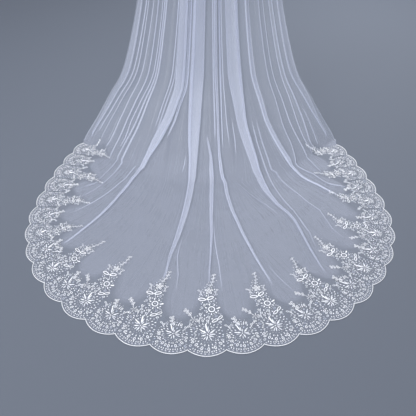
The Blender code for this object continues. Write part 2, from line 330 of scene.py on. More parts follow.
# way runs down the veil: 0 at the comb, 11 where the net lands, 12 at the hem.
# u runs across it, from -1 at the left edge to 1 at the right edge.
veilForm = {
    # height above the floor, half width, y at the middle, y at the side edges
    "levels": [
        (1.5918, 0.045, -0.0045, -0.0045), (1.575, 0.052, -0.024, -0.018),
        (1.52, 0.082, -0.066, -0.030), (1.38, 0.150, -0.115, -0.010),
        (1.15, 0.225, -0.140, 0.010), (0.85, 0.295, -0.150, -0.005),
        (0.60, 0.350, -0.165, -0.045), (0.367, 0.4215, -0.205, -0.110),
        (0.24, 0.500, -0.270, -0.135), (0.12, 0.575, -0.370, -0.155),
        (0.04, 0.630, -0.470, -0.165), (0.0, 0.652, -0.560, -0.175)],
    "hemCentre": (-0.017, -0.796),
    "hemLeft": 0.746, "hemRight": 0.781, "hemNear": 0.686, "hemFar": 1.148,
    "hemRoundness": 1.918, "hemFrom": 137.4, "hemTo": 400.2,
    "sideShortening": 0.10,
    "scallops": 29, "scallopDepth": 0.023, "scallopPower": 0.8,
    "sideShallower": 0.25, "evenTo": 0.2, "shallowOver": 0.35,     # shallower scallops at the sides
    "hemSamples": 961, "uStep": 0.004, "normalStep": 0.01,
}
levels = np.array(veilForm["levels"])
landing = len(levels) - 1


def hemOutline():
    angle = np.radians(np.linspace(veilForm["hemFrom"], veilForm["hemTo"], veilForm["hemSamples"]))
    across, along = np.cos(angle), np.sin(angle)
    reachX = np.where(across < 0, veilForm["hemLeft"], veilForm["hemRight"])
    reachY = np.where(along < 0, veilForm["hemNear"], veilForm["hemFar"])
    power = veilForm["hemRoundness"]
    radius = (np.abs(across / reachX) ** power + np.abs(along / reachY) ** power) ** (-1.0 / power)
    return np.array(veilForm["hemCentre"]) + radius[:, None] * np.stack([across, along], 1)


hemLine = hemOutline()
hemAlong = distances(hemLine)


def hemAt(u):
    u = np.asarray(u, float)
    short = veilForm["sideShortening"]
    share = np.clip(0.5 + 0.5 * ((1.0 + short) * u - short * u ** 3), 0.0, 1.0)
    return sampled(hemLine, hemAlong, share * hemAlong[-1])


def hemOut(u):
    u, step = np.asarray(u), veilForm["uStep"]
    return unit(rightOf(hemAt(np.minimum(u + step, 1.0)) - hemAt(np.maximum(u - step, -1.0))))


def scallopReach(u):
    u = np.asarray(u, float)
    sideward = smooth((np.abs(u) - veilForm["evenTo"]) / veilForm["shallowOver"])
    depth = veilForm["scallopDepth"] * (1.0 - veilForm["sideShallower"] * sideward)
    return depth * np.abs(np.sin(np.pi * (u + 1.0) * 0.5 * veilForm["scallops"])) ** veilForm["scallopPower"]


def levelPoint(level, u):
    height, half, middle, side = levels[min(max(level, 0), landing)]
    return np.stack([half * u, middle + (side - middle) * u * u, np.full_like(u, height)], -1)


def hangPoint(way, u):
    # a smooth curve through the levels
    level = min(int(way), landing - 1)
    t = way - level
    a, b, c, d = (levelPoint(level + k, u) for k in (-1, 0, 1, 2))
    point = 0.5 * (2 * b + (c - a) * t + (2 * a - 5 * b + 4 * c - d) * t ** 2
                   + (3 * b - a - 3 * c + d) * t ** 3)
    point[..., 2] = np.maximum(point[..., 2], 0.0)
    return point


def floorPoint(share, u):
    # leaves the landing line the way the net falls, and meets the hem square
    land = levelPoint(landing, u)[..., :2]
    hem = hemAt(u)
    stretch = np.linalg.norm(hem - land, axis=-1, keepdims=True)
    start = unit(land - levelPoint(landing - 1, u)[..., :2]) * stretch
    end = hemOut(u) * stretch
    g = np.asarray(share, float)
    g = g[..., None] if g.ndim else g
    plan = ((2 * g ** 3 - 3 * g ** 2 + 1) * land + (g ** 3 - 2 * g ** 2 + g) * start
            + (3 * g ** 2 - 2 * g ** 3) * hem + (g ** 3 - g ** 2) * end)
    return np.concatenate([plan, np.zeros(plan.shape[:-1] + (1,))], -1)


def basePoint(way, u):
    return hangPoint(way, u) if way <= landing else floorPoint(way - landing, u)


def outwardAt(way, u):
    # unit normal of the smooth surface: away from the wearer, and up on the floor
    if way >= landing:
        return np.tile((0.0, 0.0, 1.0), (len(u), 1))
    step = veilForm["normalStep"]
    down = basePoint(min(way + step, float(landing)), u) - basePoint(max(way - step, 0.0), u)
    return unit(np.cross(down, basePoint(way, u + step) - basePoint(way, u - step)))


netPiece = {
    "flat": (1.80, 2.75), "cutArea": 4.50,
    "aboveFloor": 0.0008,
    "rowStepFall": 0.0240, "rowStepFloor": 0.0106,
    "gapColumns": 192,        # columns shared out between the pleats
    "pleatsFrom": 7.0,        # way from which the pleats' lines and widths are given
    "broadFrom": 11.0,        # a pleat this wide, in mm, gets points across its layers
    "layerGap": 0.0013, "thinLayerGap": 0.0009, "leastLift": 0.06,
    "fadeFall": 0.8, "fadeFloor": 0.24,     # way over which a pleat opens out at its ends
    "shutFrom": 0.65, "raisedFrom": 0.35,   # its layers sink first, then its points spread out
    "openShare": 0.45,        # opened-out pleats keep this share of even spacing
    "margin": 0.002,          # plain net kept beside a pleat, less for one slimmer than this
    "slimFrom": 0.006, "leastSpace": 0.4,
    "ridgeSkirt": 0.011, "ridgeGrows": (1.0, 3.0), "ridgeTail": 0.35, "ridgeOnFloor": 0.6,
    # flutes: how many waves, how often and how slanted, their depth, and where they start, grow, end and fade
    "seed": 11, "waves": 7, "waveOften": (9.0, 25.0), "waveSlant": (0.1, 0.9),
    "gatherWave": 0.0045, "gatherSpan": (0.0, 1.2, 3.0, 4.5),
    "swell": 0.0016, "swellSpan": (0.0, 2.0, 8.5, 2.5),
    "floorSwell": 0.6, "floorSpan": (10.0, 1.0, 11.55, 0.25),
    "snapFrom": 0.90, "snapOver": 0.08, "scallopsFrom": 0.88, "scallopGrowth": 1.6,
    "wrinklesBelow": 0.05, "wrinkleReach": 0.4, "wrinkleEnds": (0.03, 0.97), "wrinklePower": 0.6,
    "sheer": ("sideLeft", "sideRight"), "sheerCrease": 0.3,
    # pleats from left to right: name, lean, ridge in mm, line of (way, u), width of (way, mm)
    "pleats": [
        ("sideLeft", 1, 4, [(7, -.945), (9.05, -.955), (10.6, -.955)],
         [(7, 34), (8.4, 25), (9.4, 12), (10.5, 6)]),
        ("left1", 1, 0, [(7, -.872), (9, -.920), (10, -.925)], [(7, 4), (10, 3.5)]),
        ("left2", -1, 5, [(7, -.822), (8.9, -.870), (10.4, -.875)], [(7, 4), (10.4, 4)]),
        ("left3", 1, 0, [(7, -.768), (8.8, -.800), (9.8, -.800), (11, -.83)], [(7, 4), (10.9, 4)]),
        ("left4", -1, 6, [(7, -.690), (8.7, -.730), (9.6, -.735), (11.09, -.760)],
         [(7, 5), (9, 6), (11.15, 5)]),
        ("left5", 1, 0, [(7, -.636), (8.7, -.697), (9.45, -.695), (10.4, -.72)], [(7, 4), (10.3, 4)]),
        ("twinA", -1, 7, [(7, -.603), (8.65, -.645), (9.45, -.670), (10.9, -.702), (11.28, -.690),
                          (11.43, -.676), (11.72, -.715)], [(7, 6), (8.6, 7), (10, 5), (11.75, 4)]),
        ("twinB", -1, 0, [(7, -.580), (8.6, -.614), (9.45, -.640), (10.7, -.667), (11.22, -.656),
                          (11.44, -.650), (11.7, -.655)],
         [(7, 5), (8.6, 7), (9.6, 8), (11, 8), (11.2, 5), (11.72, 4)]),
        ("tailLeft", 1, 4, [(7, -.50), (10, -.54), (10.95, -.552), (11.12, -.568), (11.24, -.580),
                            (11.59, -.590), (11.78, -.600)], [(10.6, 4), (11.8, 4)]),
        ("thinA", 1, 0, [(7, -.425), (8.5, -.468), (9.2, -.50), (10.8, -.535), (11.1, -.558), (11.8, -.550)],
         [(7, 4), (9.1, 3.5)]),
        ("thinB", 1, 0, [(7, -.392), (8.5, -.440), (9.4, -.48), (10.8, -.525), (11.1, -.550), (11.8, -.520)],
         [(7, 4), (9.3, 4)]),
        ("broadLeft", 1, 9, [(7, -.318), (7.45, -.315), (8.45, -.375), (9.2, -.440), (10.15, -.485),
                             (10.85, -.510), (11.11, -.530), (11.31, -.525), (11.55, -.500), (11.81, -.475)],
         [(7, 42), (8.4, 40), (9.2, 44), (9.9, 26), (10.8, 22), (11.1, 15), (11.5, 11), (11.75, 7),
          (11.92, 5)]),
        ("broadLeftRim", 1, 0, [(7, -.258), (7.4, -.262), (8.45, -.312), (9.1, -.366)],
         [(7, 12), (8.4, 8), (9.3, 4)]),
        ("forkLeft", -1, 0, [(7, -.21), (9.2, -.185), (10, -.19), (10.75, -.215)], [(9.3, 4), (10.7, 4)]),
        ("centreLeft", -1, 8, [(7, -.120), (9.75, -.112), (10.75, -.120), (11.14, -.135), (11.3, -.140),
                               (11.54, -.144), (11.64, -.136), (11.9, -.130)],
         [(7, 62), (8.4, 57), (9, 50), (9.75, 38), (10.6, 33), (11.06, 28), (11.22, 25), (11.4, 19),
          (11.6, 7), (11.8, 3.5)]),
        ("centreLeftTail", 1, 0, [(11, -.10), (11.45, -.122), (11.53, -.118), (11.64, -.096), (11.8, -.082)],
         [(11.34, 3.5), (11.84, 3.5)]),
        ("centreTuck", 1, 5, [(7, -.03), (8.85, -.022), (9.65, .010), (10.7, .022), (11.3, .015),
                              (11.43, .012), (11.6, .006), (11.8, .002)],
         [(8.6, 5), (9.6, 9), (10.3, 18), (11.1, 17), (11.3, 11), (11.5, 5), (11.78, 3.5)]),
        ("centreSplit", -1, 0, [(7, .02), (9.65, .03), (11, .035), (11.31, .022), (11.47, .031),
                                (11.57, .039), (11.8, .044)], [(11.2, 3.5), (11.82, 3.5)]),
        ("centre1", 1, 0, [(7, .042), (8.4, .045), (9.3, .045), (11, .06), (11.5, .075)], [(7, 5), (9.3, 5)]),
        ("centreRight", -1, 7, [(7, .076), (9, .073), (9.75, .080), (10.2, .083), (10.75, .095), (11.1, .115),
                                (11.22, .130), (11.31, .145), (11.49, .165), (11.69, .180)],
         [(7, 13), (8.4, 8), (9.4, 9), (10, 13), (11.1, 14), (11.4, 10), (11.65, 6), (11.84, 4)]),
        ("tailRight", 1, 0, [(7, .10), (9.6, .093), (11, .13), (11.3, .165), (11.6, .197), (11.68, .205),
                             (11.9, .236)], [(11.52, 3.5), (11.92, 3.5)]),
        ("centre3", 1, 0, [(7, .117), (8.4, .108), (9.55, .105), (11, .145), (11.3, .185), (11.7, .245)],
         [(7, 8), (8.2, 5), (9.6, 4)]),
        ("centre4", 1, 0, [(7, .150), (8.4, .150), (9.05, .160), (9.6, .160), (11, .162), (11.3, .21),
                           (11.7, .262)], [(7, 4), (9.5, 4)]),
        ("centre5", 1, 0, [(7, .172), (8.4, .202), (9.05, .210), (9.75, .205), (11, .178), (11.3, .235),
                           (11.7, .28)], [(8.1, 4), (9.9, 4)]),
        ("cross", 1, 0, [(7, .225), (9.75, .24), (10.6, .215), (11.01, .195), (11.09, .245), (11.16, .282),
                         (11.24, .325), (11.31, .350), (11.37, .362), (11.7, .30)],
         [(10.92, 3.5), (11.45, 3.5)]),
        ("broadRight", 1, 9, [(7, .258), (7.4, .260), (8.4, .278), (9.1, .305), (9.9, .330), (10.45, .340),
                              (11.03, .360), (11.16, .370), (11.29, .386), (11.38, .402), (11.45, .400),
                              (11.52, .386), (11.65, .356), (11.76, .336), (11.84, .325)],
         [(7, 64), (8.4, 47), (9.1, 45), (10.2, 38), (11, 34), (11.12, 30), (11.2, 20), (11.3, 12), (11.7, 6),
          (11.9, 4)]),
        ("right1", 1, 0, [(7, .36), (9.2, .388), (10, .405), (11, .427), (11.38, .437), (11.56, .412),
                          (11.71, .36)], [(8.2, 4), (10, 5), (11.2, 5), (11.74, 4)]),
        ("right2", 1, 0, [(7, .40), (9.25, .430), (10, .446), (10.65, .455), (11.10, .496), (11.28, .525),
                          (11.50, .535), (11.64, .492), (11.78, .474)], [(8.2, 4), (10.8, 5), (11.82, 4)]),
        ("secondRight", -1, 8, [(7, .488), (7.5, .495), (8.5, .503), (9.3, .540), (10.4, .590), (11.01, .607),
                                (11.19, .620), (11.36, .650), (11.50, .660), (11.8, .665)],
         [(7, 23), (8.5, 20), (9.3, 22), (10.4, 25), (11, 16), (11.3, 10), (11.76, 5)]),
        ("right3", 1, 6, [(7, .652), (8.8, .635), (9.6, .650), (11.05, .645), (11.25, .688), (11.45, .694),
                          (11.65, .722), (11.91, .722)], [(7, 4), (9.8, 4), (11, 5), (11.9, 4)]),
        ("right4", 1, 6, [(7, .712), (8.7, .703), (9.1, .710), (10.0, .727), (11.11, .742), (11.35, .735)],
         [(7, 4), (8.7, 6), (11.45, 4)]),
        ("right5", -1, 0, [(7, .806), (8.75, .772), (9.7, .770), (10.6, .79)], [(7, 4), (11.1, 4)]),
        ("right6", 1, 6, [(7, .842), (8.8, .825), (9.8, .800), (10.8, .81)], [(7, 6), (8.8, 7), (11.1, 4)]),
        ("right7", 1, 0, [(7, .868), (8.9, .876), (10, .858), (10.8, .86)], [(8, 4), (10.8, 4)]),
        ("sideRight", -1, 4, [(7, .945), (9.05, .948), (10.5, .950)],
         [(7, 38), (8.0, 33), (9.05, 14), (10.5, 6)]),
    ],
    # low wrinkles of the part on the floor: height and half width in mm, then (way, u)
    "wrinkles": [
        (5.0, 11, [(11.01, .185), (11.07, .225), (11.14, .260), (11.20, .295), (11.25, .325), (11.31, .355)]),
        (4.0, 11, [(11.14, .280), (11.16, .320), (11.17, .350)]),
        (3.0, 16, [(11.20, -.05), (11.32, -.055), (11.45, -.05)]),
        (3.0, 18, [(11.15, -.33), (11.35, -.335), (11.5, -.32)]),
        (3.0, 16, [(11.25, .27), (11.4, .275), (11.5, .265)]),
        (5.0, 12, [(11.40, -.672), (11.58, -.690), (11.74, -.722)]),
        (5.0, 12, [(11.42, -.632), (11.60, -.640), (11.74, -.645)]),
        (4.5, 12, [(11.55, -.585), (11.68, -.578), (11.80, -.590)]),
        (5.0, 12, [(11.40, .425), (11.54, .430), (11.66, .432)]),
        (5.0, 12, [(11.42, .690), (11.62, .716), (11.90, .716)]),
    ],
}
# columns across a pleat: place in widths, extra in mm, lift in layers, hardness of the crease
slimPleat = [(-.5, -1.6, 0, 0), (-.5, 0, 0, .6), (.5, 0, 0, .6), (.5, 0, 1, .6), (-.5, 0, 1, .6),
             (-.5, 0, 2, .6), (.5, 0, 2, .6), (.5, 1.6, 0, 0)]
broadPleat = [(-.5, -2, 0, 0), (-.5, 0, 0, .4), (-.2, 0, 0, 0), (.2, 0, 0, 0), (.5, -1.5, 0, 0),
              (.5, 0, 0, .9), (.5, .5, .5, .9), (.5, 0, 1, .9), (.5, -1.5, 1, 0), (.1, 0, 1, 0),
              (-.5, 1.5, 1, 0),
              (-.5, 0, 1, .9), (-.5, -.5, 1.5, .9), (-.5, 0, 2, .9), (-.5, 1.5, 2, 0), (-.1, 0, 2, 0),
              (.46, -1, 2, 0), (.46, 0, 2.2, .8), (.46, 0, 3, .8), (.24, 0, 3, .3), (.24, 0, 4, .3),
              (.5, -1.5, 4, 0), (.5, 0, 3.5, .8), (.5, 2, 0, 0)]
uFine = np.linspace(-1.0, 1.0, 801)


def pleatPlan():
    plan = []
    for name, lean, ridge, line, width in netPiece["pleats"]:
        width = np.array(width)
        broad = width[:, 1].max() >= netPiece["broadFrom"]
        shape = np.array(broadPleat if broad else slimPleat, float)
        if lean < 0:
            shape = shape[::-1] * (-1, -1, 1, 1)
        if name in netPiece["sheer"]:
            shape = shape - (0, 0, 0, netPiece["sheerCrease"])
        plan.append({"ridge": ridge * mm, "line": np.array(line), "width": width, "shape": shape,
                     "fromComb": width[0, 0] <= netPiece["pleatsFrom"],
                     "gap": netPiece["layerGap"] if broad else netPiece["thinLayerGap"]})
    return plan


def pleatAt(pleat, way, narrowing):
    # u of the pleat's middle, its width in metres, and 1 where it is folded
    u = np.interp(way, pleat["line"][:, 0], pleat["line"][:, 1])
    start, end = pleat["width"][0, 0], pleat["width"][-1, 0]
    width = np.interp(way, pleat["width"][:, 0], pleat["width"][:, 1]) * mm
    folded = 1.0
    if pleat["fromComb"]:
        width *= narrowing
    else:
        fade = netPiece["fadeFloor"] if start > landing - 0.5 else netPiece["fadeFall"]
        folded *= float(np.clip((way - start) / fade, 0.0, 1.0))
    fade = netPiece["fadeFloor"] if end > landing else netPiece["fadeFall"]
    folded *= float(np.clip((end - way) / fade, 0.0, 1.0))
    return u, width, folded


def alongMiddle(ways):
    return distances([basePoint(way, np.zeros(1))[0] for way in ways])


def rowWays():
    # stations of the rows, evenly spaced along the middle of the veil
    fine = np.linspace(0.0, landing, 1101)
    along = alongMiddle(fine)
    count = int(along[-1] / netPiece["rowStepFall"])
    hang = np.interp(np.linspace(0.0, along[-1], count + 1), along, fine)
    floorLength = np.linalg.norm(hemAt(0.0) - levelPoint(landing, np.zeros(1))[0, :2])
    count = int(floorLength / netPiece["rowStepFloor"])
    return np.concatenate([hang, landing + np.linspace(0.0, 1.0, count + 1)[1:]])


def snapToCusps(u, strength):
    # the points nearest to the scallops' cusps move onto them
    cusps = np.linspace(-1.0, 1.0, veilForm["scallops"] + 1)
    nearest = np.abs(u[None, :] - cusps[:, None]).argmin(1)
    return u + (np.interp(u, u[nearest], cusps) - u) * strength


def pushApart(centres, halves, total, least):
    # moves the centres until no pleat overlaps its neighbour
    for _ in range(60):
        moved = False
        for index in range(len(centres) - 1):
            short = halves[index] + halves[index + 1] + least - (centres[index + 1] - centres[index])
            if short > 1e-7:
                centres[index] -= short * 0.5
                centres[index + 1] += short * 0.5
                moved = True
        centres[0] = max(centres[0], halves[0] + least)
        centres[-1] = min(centres[-1], total - halves[-1] - least)
        if not moved:
            break


def rowArc(way):
    return distances(basePoint(way, uFine))


def gapCounts(plan):
    # columns between the pleats, shared out by the gaps' widths on the floor
    way = landing + 0.5
    arc = rowArc(way)
    marks = [0.0] + [np.interp(pleatAt(pleat, way, 1.0)[0], uFine, arc) for pleat in plan] + [arc[-1]]
    gaps = np.maximum(np.diff(marks), 0.0)
    return np.maximum(np.round(gaps / gaps.sum() * netPiece["gapColumns"]).astype(int), 2)


def pleatStates(way, plan, arc, even, narrowing):
    # of each pleat: middle, half the room it takes, width, share shut, share raised, half when opened out
    states = []
    for pleat in plan:
        u, width, folded = pleatAt(pleat, way, narrowing)
        opened = even * len(pleat["shape"]) * 0.5 * netPiece["openShare"]
        margin = netPiece["margin"] * min(1.0, width / netPiece["slimFrom"])
        shut = float(smooth(folded / netPiece["shutFrom"]))
        raised = float(smooth((folded - netPiece["raisedFrom"]) / (1.0 - netPiece["raisedFrom"])))
        half = shut * (width * 0.5 + margin) + (1.0 - shut) * opened
        states.append((np.interp(u, uFine, arc), half, width, shut, raised, opened))
    return np.array(states).T


def layRow(way, plan, counts, columns, fullWidth):
    # u of a row's points, how high they are lifted in metres, and how hard the creases are
    arc = rowArc(way)
    total = arc[-1]
    even = total / columns
    states = pleatStates(way, plan, arc, even, min(total / fullWidth, 1.0))
    pushApart(states[0], states[1], total, even * netPiece["leastSpace"])
    parts, cursor = [], 0.0
    for index, (pleat, centre, half, width, shut, raised, opened) in enumerate(zip(plan, *states)):
        # plain net up to the pleat, then the pleat's own columns
        first = 1 if index else 0
        gap = np.linspace(cursor, centre - half, counts[index] + 1 + first)[first:-1]
        shape = pleat["shape"]
        across = shape[:, 0] * width + shape[:, 1] * mm * min(1.0, width / netPiece["slimFrom"])
        spread = (np.arange(len(shape)) + 0.5) / len(shape) * 2.0 - 1.0
        high = netPiece["leastLift"] + (1.0 - netPiece["leastLift"]) * raised
        parts += [np.stack([gap, gap * 0.0, gap * 0.0]),
                  np.stack([centre + across * shut + spread * opened * (1.0 - shut),
                            shape[:, 2] * pleat["gap"] * high * shut, shape[:, 3] * raised])]
        cursor = centre + half
    rest = np.linspace(cursor, total, counts[-1] + 1)
    place, lift, crease = np.concatenate(parts + [np.stack([rest, rest * 0.0, rest * 0.0])], 1)
    # the pleats ride on soft flat-topped ridges
    start, over = netPiece["ridgeGrows"]
    for pleat, centre, _, width, _, raised, _ in zip(plan, *states):
        if pleat["ridge"]:
            away = np.clip((np.abs(place - centre) - width * 0.5) / netPiece["ridgeSkirt"], 0.0, 1.0)
            rise = float(smooth((way - start) / over)) * raised
            rise *= 1.0 if way < landing else netPiece["ridgeOnFloor"]
            tail = float(smooth((pleat["width"][-1, 0] - way) / netPiece["ridgeTail"]))
            lift = lift + pleat["ridge"] * rise * tail * (1.0 - away ** 2) ** 2
    return np.clip(np.interp(place, arc, uFine), -1.0, 1.0), lift, crease


def addWrinkle(points, height, halfWidth, line):
    spine = np.array([basePoint(way, np.array([u]))[0, :2] for way, u in line])
    spine = sampled(spine, np.linspace(0, 1, len(spine)), np.linspace(0, 1, 25))
    beside = np.abs(points[:, 0] - spine[:, 0].mean()) < netPiece["wrinkleReach"]
    chosen = np.nonzero((points[:, 2] < netPiece["wrinklesBelow"]) & beside)[0]
    away = np.linalg.norm(points[chosen, None, :2] - spine[None], axis=2)
    part = away.argmin(1) / (len(spine) - 1.0)
    rise = np.clip(1.0 - (away.min(1) / halfWidth) ** 2, 0.0, 1.0) ** 2
    taper = np.sin(np.pi * np.clip(part, *netPiece["wrinkleEnds"])) ** netPiece["wrinklePower"]
    points[chosen, 2] += height * rise * taper


def makeNet():
    plan = pleatPlan()
    ways = rowWays()
    along = alongMiddle(ways)
    counts = gapCounts(plan)
    columns = int(counts.sum() + sum(len(pleat["shape"]) for pleat in plan)) + 1
    fullWidth = rowArc(netPiece["pleatsFrom"])[-1]
    rng = np.random.default_rng(netPiece["seed"])
    waves = [(rng.uniform(*netPiece["waveOften"]), rng.uniform(0, 6.28), rng.uniform(*netPiece["waveSlant"]))
             for _ in range(netPiece["waves"])]
    grid, uv = np.zeros((len(ways), columns, 3)), np.zeros((len(ways), columns, 2))
    hard = np.zeros((len(ways), columns))
    for row, way in enumerate(ways):
        u, lift, hard[row] = layRow(way, plan, counts, columns, fullWidth)
        # flutes from the gathers and a slow swell
        flute = sum(np.sin(often * u * math.pi + start + slant * way) for often, start, slant in waves)
        flute /= len(waves) ** 0.5
        lift = lift + flute * (netPiece["gatherWave"] * between(way, *netPiece["gatherSpan"])
                               + netPiece["swell"] * between(way, *netPiece["swellSpan"]))
        lies = netPiece["floorSwell"] * between(way, *netPiece["floorSpan"])
        lift = lift + np.abs(flute) * netPiece["swell"] * lies
        share = way - landing
        if share > netPiece["snapFrom"]:
            u = snapToCusps(u, float(smooth((share - netPiece["snapFrom"]) / netPiece["snapOver"])))
        point = basePoint(way, u)
        if share > netPiece["scallopsFrom"]:
            grown = (share - netPiece["scallopsFrom"]) / (1.0 - netPiece["scallopsFrom"])
            point[:, :2] += hemOut(u) * (scallopReach(u) * grown ** netPiece["scallopGrowth"])[:, None]
        point = point + outwardAt(way, u) * lift[:, None]
        point[:, 2] = np.maximum(point[:, 2], 0.0)
        grid[row] = point
        steps = distances(point)
        uv[row, :, 0] = steps - np.interp(0.0, u, steps)
        uv[row, :, 1] = along[row]
    hard[:, [0, -1]] = 1.0
    points = grid.reshape(-1, 3)
    for height, halfWidth, line in netPiece["wrinkles"]:
        addWrinkle(points, height * mm, halfWidth * mm, line)
    points[:, 2] += floorZ + netPiece["aboveFloor"]
    piece = clothObject("veilNet", points, gridFaces(len(ways), columns), uv.reshape(-1, 2))
    setMarks(piece.data, "crease", hard)
    setMarks(piece.data, "strand", np.tile(np.arange(columns), len(ways)))
    print("net:", len(ways), "rows,", columns, "columns,", 2 * len(piece.data.polygons), "triangles")
    return piece


usualNoise = (0.3, 0.7)     # most of a noise texture's values lie between these
netFinish = {
    "colour": (0.76, 0.81, 0.97), "roughness": 0.55,
    "values": {"Sheen Weight": 0.25, "Sheen Roughness": 0.4},
    "dimTint": (0.60, 0.645, 0.83, 1.0), "brightTint": (0.81, 0.86, 1.0, 1.0),
    "cellWidth": 0.0014, "cellHeight": 0.0011, "threadWidth": 0.00022, "threadSoft": 0.3,
    "cover": (0.12, 0.30),                   # of the cells' middle and of the threads
    "patchScale": 9.0, "patches": (0.88, 1.12),
    "streakScale": 0.55, "streak": (-0.20, 0.22), "tintSpan": (-0.20, 0.20),
    # from and to, in metres along the net from the comb, and what is kept at each
    "streakFades": (1.55, 2.1, 1.0, 0.28), "tintFades": (1.3, 1.8, 1.0, 0.15),
    "hangingShadeCover": (1.3, 2.0, 0.78, 1.0),      # the hanging part's cover is cut, painted shade that darkens it
    "behindLace": 0.22,                      # what is left of the net that is cut back there
    "creaseCover": 0.25,                     # a hard crease lets less light through
}


def netMaterial():
    look = netFinish
    material, tree, shader = newMaterial("softNet", look)
    place = clothPlace(tree)
    cells = addNode(tree, "ShaderNodeTexBrick", {
        "Vector": place, "Scale": 1.0, "Brick Width": look["cellWidth"], "Row Height": look["cellHeight"],
        "Mortar Size": look["threadWidth"], "Mortar Smooth": look["threadSoft"]})
    threads = mapRange(tree, cells.outputs["Fac"], 0.0, 1.0, *look["cover"])
    thick = mapRange(tree, noise(tree, place, look["patchScale"], 3.0), 0.0, 1.0, *look["patches"])
    cover = maths(tree, "MULTIPLY", threads, thick)
    # long faint streaks run down the net with its strands, and colour it where it hangs
    down = addNode(tree, "ShaderNodeSeparateXYZ", {"Vector": place}).outputs["Y"]
    spot = addNode(tree, "ShaderNodeCombineXYZ", {"X": attribute(tree, "strand"), "Y": down})
    streak = noise(tree, spot.outputs["Vector"], look["streakScale"], 3.0, 0.65)
    streak = mapRange(tree, streak, *usualNoise, *look["streak"])
    streak = maths(tree, "MULTIPLY", streak, mapRange(tree, down, *look["streakFades"]))
    shade = maths(tree, "MULTIPLY", streak, mapRange(tree, down, *look["tintFades"]))
    shade = mapRange(tree, shade, *look["tintSpan"], 0.0, 1.0)
    tint = addNode(tree, "ShaderNodeMix", {
        "Factor": shade, "A": look["dimTint"], "B": look["brightTint"]}, data_type="RGBA")
    tree.links.new(tint.outputs["Result"], shader.inputs["Base Color"])
    # painted shade: the net's cover is cut where it hangs, so that part reads darker
    for part in (mapRange(tree, streak, -1.0, 1.0, 0.0, 2.0), mapRange(tree, down, *look["hangingShadeCover"]),
                 mapRange(tree, attribute(tree, "trim"), 0.0, 1.0, 1.0, look["behindLace"])):
        cover = maths(tree, "MULTIPLY", cover, part)
    cover = maths(tree, "MULTIPLY_ADD", attribute(tree, "crease"), look["creaseCover"], cover, clamp=True)
    tree.links.new(cover, shader.inputs["Alpha"])
    return material


net = makeNet()
net.data.materials.append(netMaterial())
setPiece(net, "net", "net_fall", "net_train")


# Each motif is drawn flat in mm: x along the hem from the scallop's middle, y inwards from its cusps.
laceBorder = {
    "pitch": 133.0,             # width of a scallop in the drawing
    "drawnTip": (32.0, 330.0), "drawnHeight": 0.33, "low": 0.122,   # height of a tall and a low motif, in m
    # length and lean in mm of each tall motif, from left to right
    "tall": [(190, 25), (240, 50), (225, 15), (210, -5), (275, -25), (315, -30), (330, 0), (345, 30),
             (320, 30), (310, 40), (310, 55), (285, 85), (215, 75), (220, 45), (180, 50)],
    "leanPower": 1.6,
    "spokeTo": 0.45, "normalFrom": 0.75,   # where the motifs turn from the folds' way to square with the hem
    "followTo": 110.0,          # lowest part of a motif follows the hem, the rest stays straight
    "aboveNet": 0.0007, "laidFrom": 0.09, "lookAhead": 0.004,
    "leftTo": 10, "rightFrom": 19,         # scallops of the left and right lace
    "threadHalf": 1.40, "threadCrown": 1.0, "leafTurn": 48.0,
    "inset": 8.0,               # from the edge to the first stitches, in mm
    # two rows of stitches inside the edge: half length, count, moved back, inset, turn, sway, size, shade
    "edgeRows": [(57.0, 10, 3.2, 10.0, -90.0, 0.0, 0.75, 0.8), (50.0, 13, 0.0, 14.5, 0.0, 14.0, 0.85, 1.0)],
    "rayLengths": (1.0, 0.62, 0.86, 0.5, 0.8, 1.1, 0.56), "rayStart": 4.5, "rayStep": 3.0, "knotSize": 1.25,
    "ringHalf": 60.0, "ringClear": 14.0, "leafRise": 10.0,
    "fillTries": 6000, "fillGap": 2.6, "fillSide": 86.0, "fillBeads": 0.45,
    "fillKinds": [("leaf", 0.8), ("drop", 0.9), ("fan", 0.75), ("curl", 0.7), ("drop", 0.7), ("dash", 0.75),
                  ("dot", 0.9)],
    "groundColumns": 14, "groundRows": 14, "groundAbove": 0.0004, "groundPeak": 2.4, "groundLean": 1.5,
    "groundFade": 0.16,
    "groundFlat": (3.55, 0.36), "groundArea": 0.56,
}
elementKinds = ["leaf", "bowLeaf", "ray", "petal", "drop", "ring", "dash", "curl", "dot", "fan"]
elementReach = {                # length and half width in mm, for keeping elements apart
    "leaf": (13.0, 3.4), "bowLeaf": (25.0, 5.6), "ray": (19.0, 1.9), "petal": (13.0, 4.4),
    "drop": (9.0, 2.3), "dash": (8.0, 1.6), "curl": (10.0, 3.0), "dot": (0.0, 1.9), "fan": (9.0, 3.4)}


def ribbon(line, half, crown, closed=False):
    # a satin stroke: left edge, raised middle, right edge
    line = np.asarray(line, float)
    ahead = np.roll(line, -1, 0) - np.roll(line, 1, 0) if closed else np.gradient(line, axis=0)
    ahead /= np.maximum(np.linalg.norm(ahead, axis=1, keepdims=True), 1e-9)
    width = np.full(len(line), float(half))
    if not closed:
        width[[0, -1]] *= 0.35
    points = np.zeros((len(line), 3, 3))
    for column, (side, lift) in enumerate(((1, 0), (0, crown), (-1, 0))):
        points[:, column, :2] = line - rightOf(ahead) * (width * side)[:, None]
        points[:, column, 2] = lift
    return points.reshape(-1, 3), stripFaces(len(line), 3, closed), np.repeat(distances(line), 3)


def solidDrop(length, width, crown):
    rows = np.array([0.0, 0.18, 0.45, 0.75, 0.93, 1.0])
    half = width * 0.5 * np.array([0.15, 0.62, 0.95, 0.98, 0.55, 0.12])
    points = np.zeros((len(rows), 3, 3))
    points[:, :, 0] = half[:, None] * (-1, 0, 1)
    points[:, :, 1] = (rows * length)[:, None]
    points[1:-1, 1, 2] = crown
    return points.reshape(-1, 3), stripFaces(len(rows), 3), points[:, :, 1].ravel()


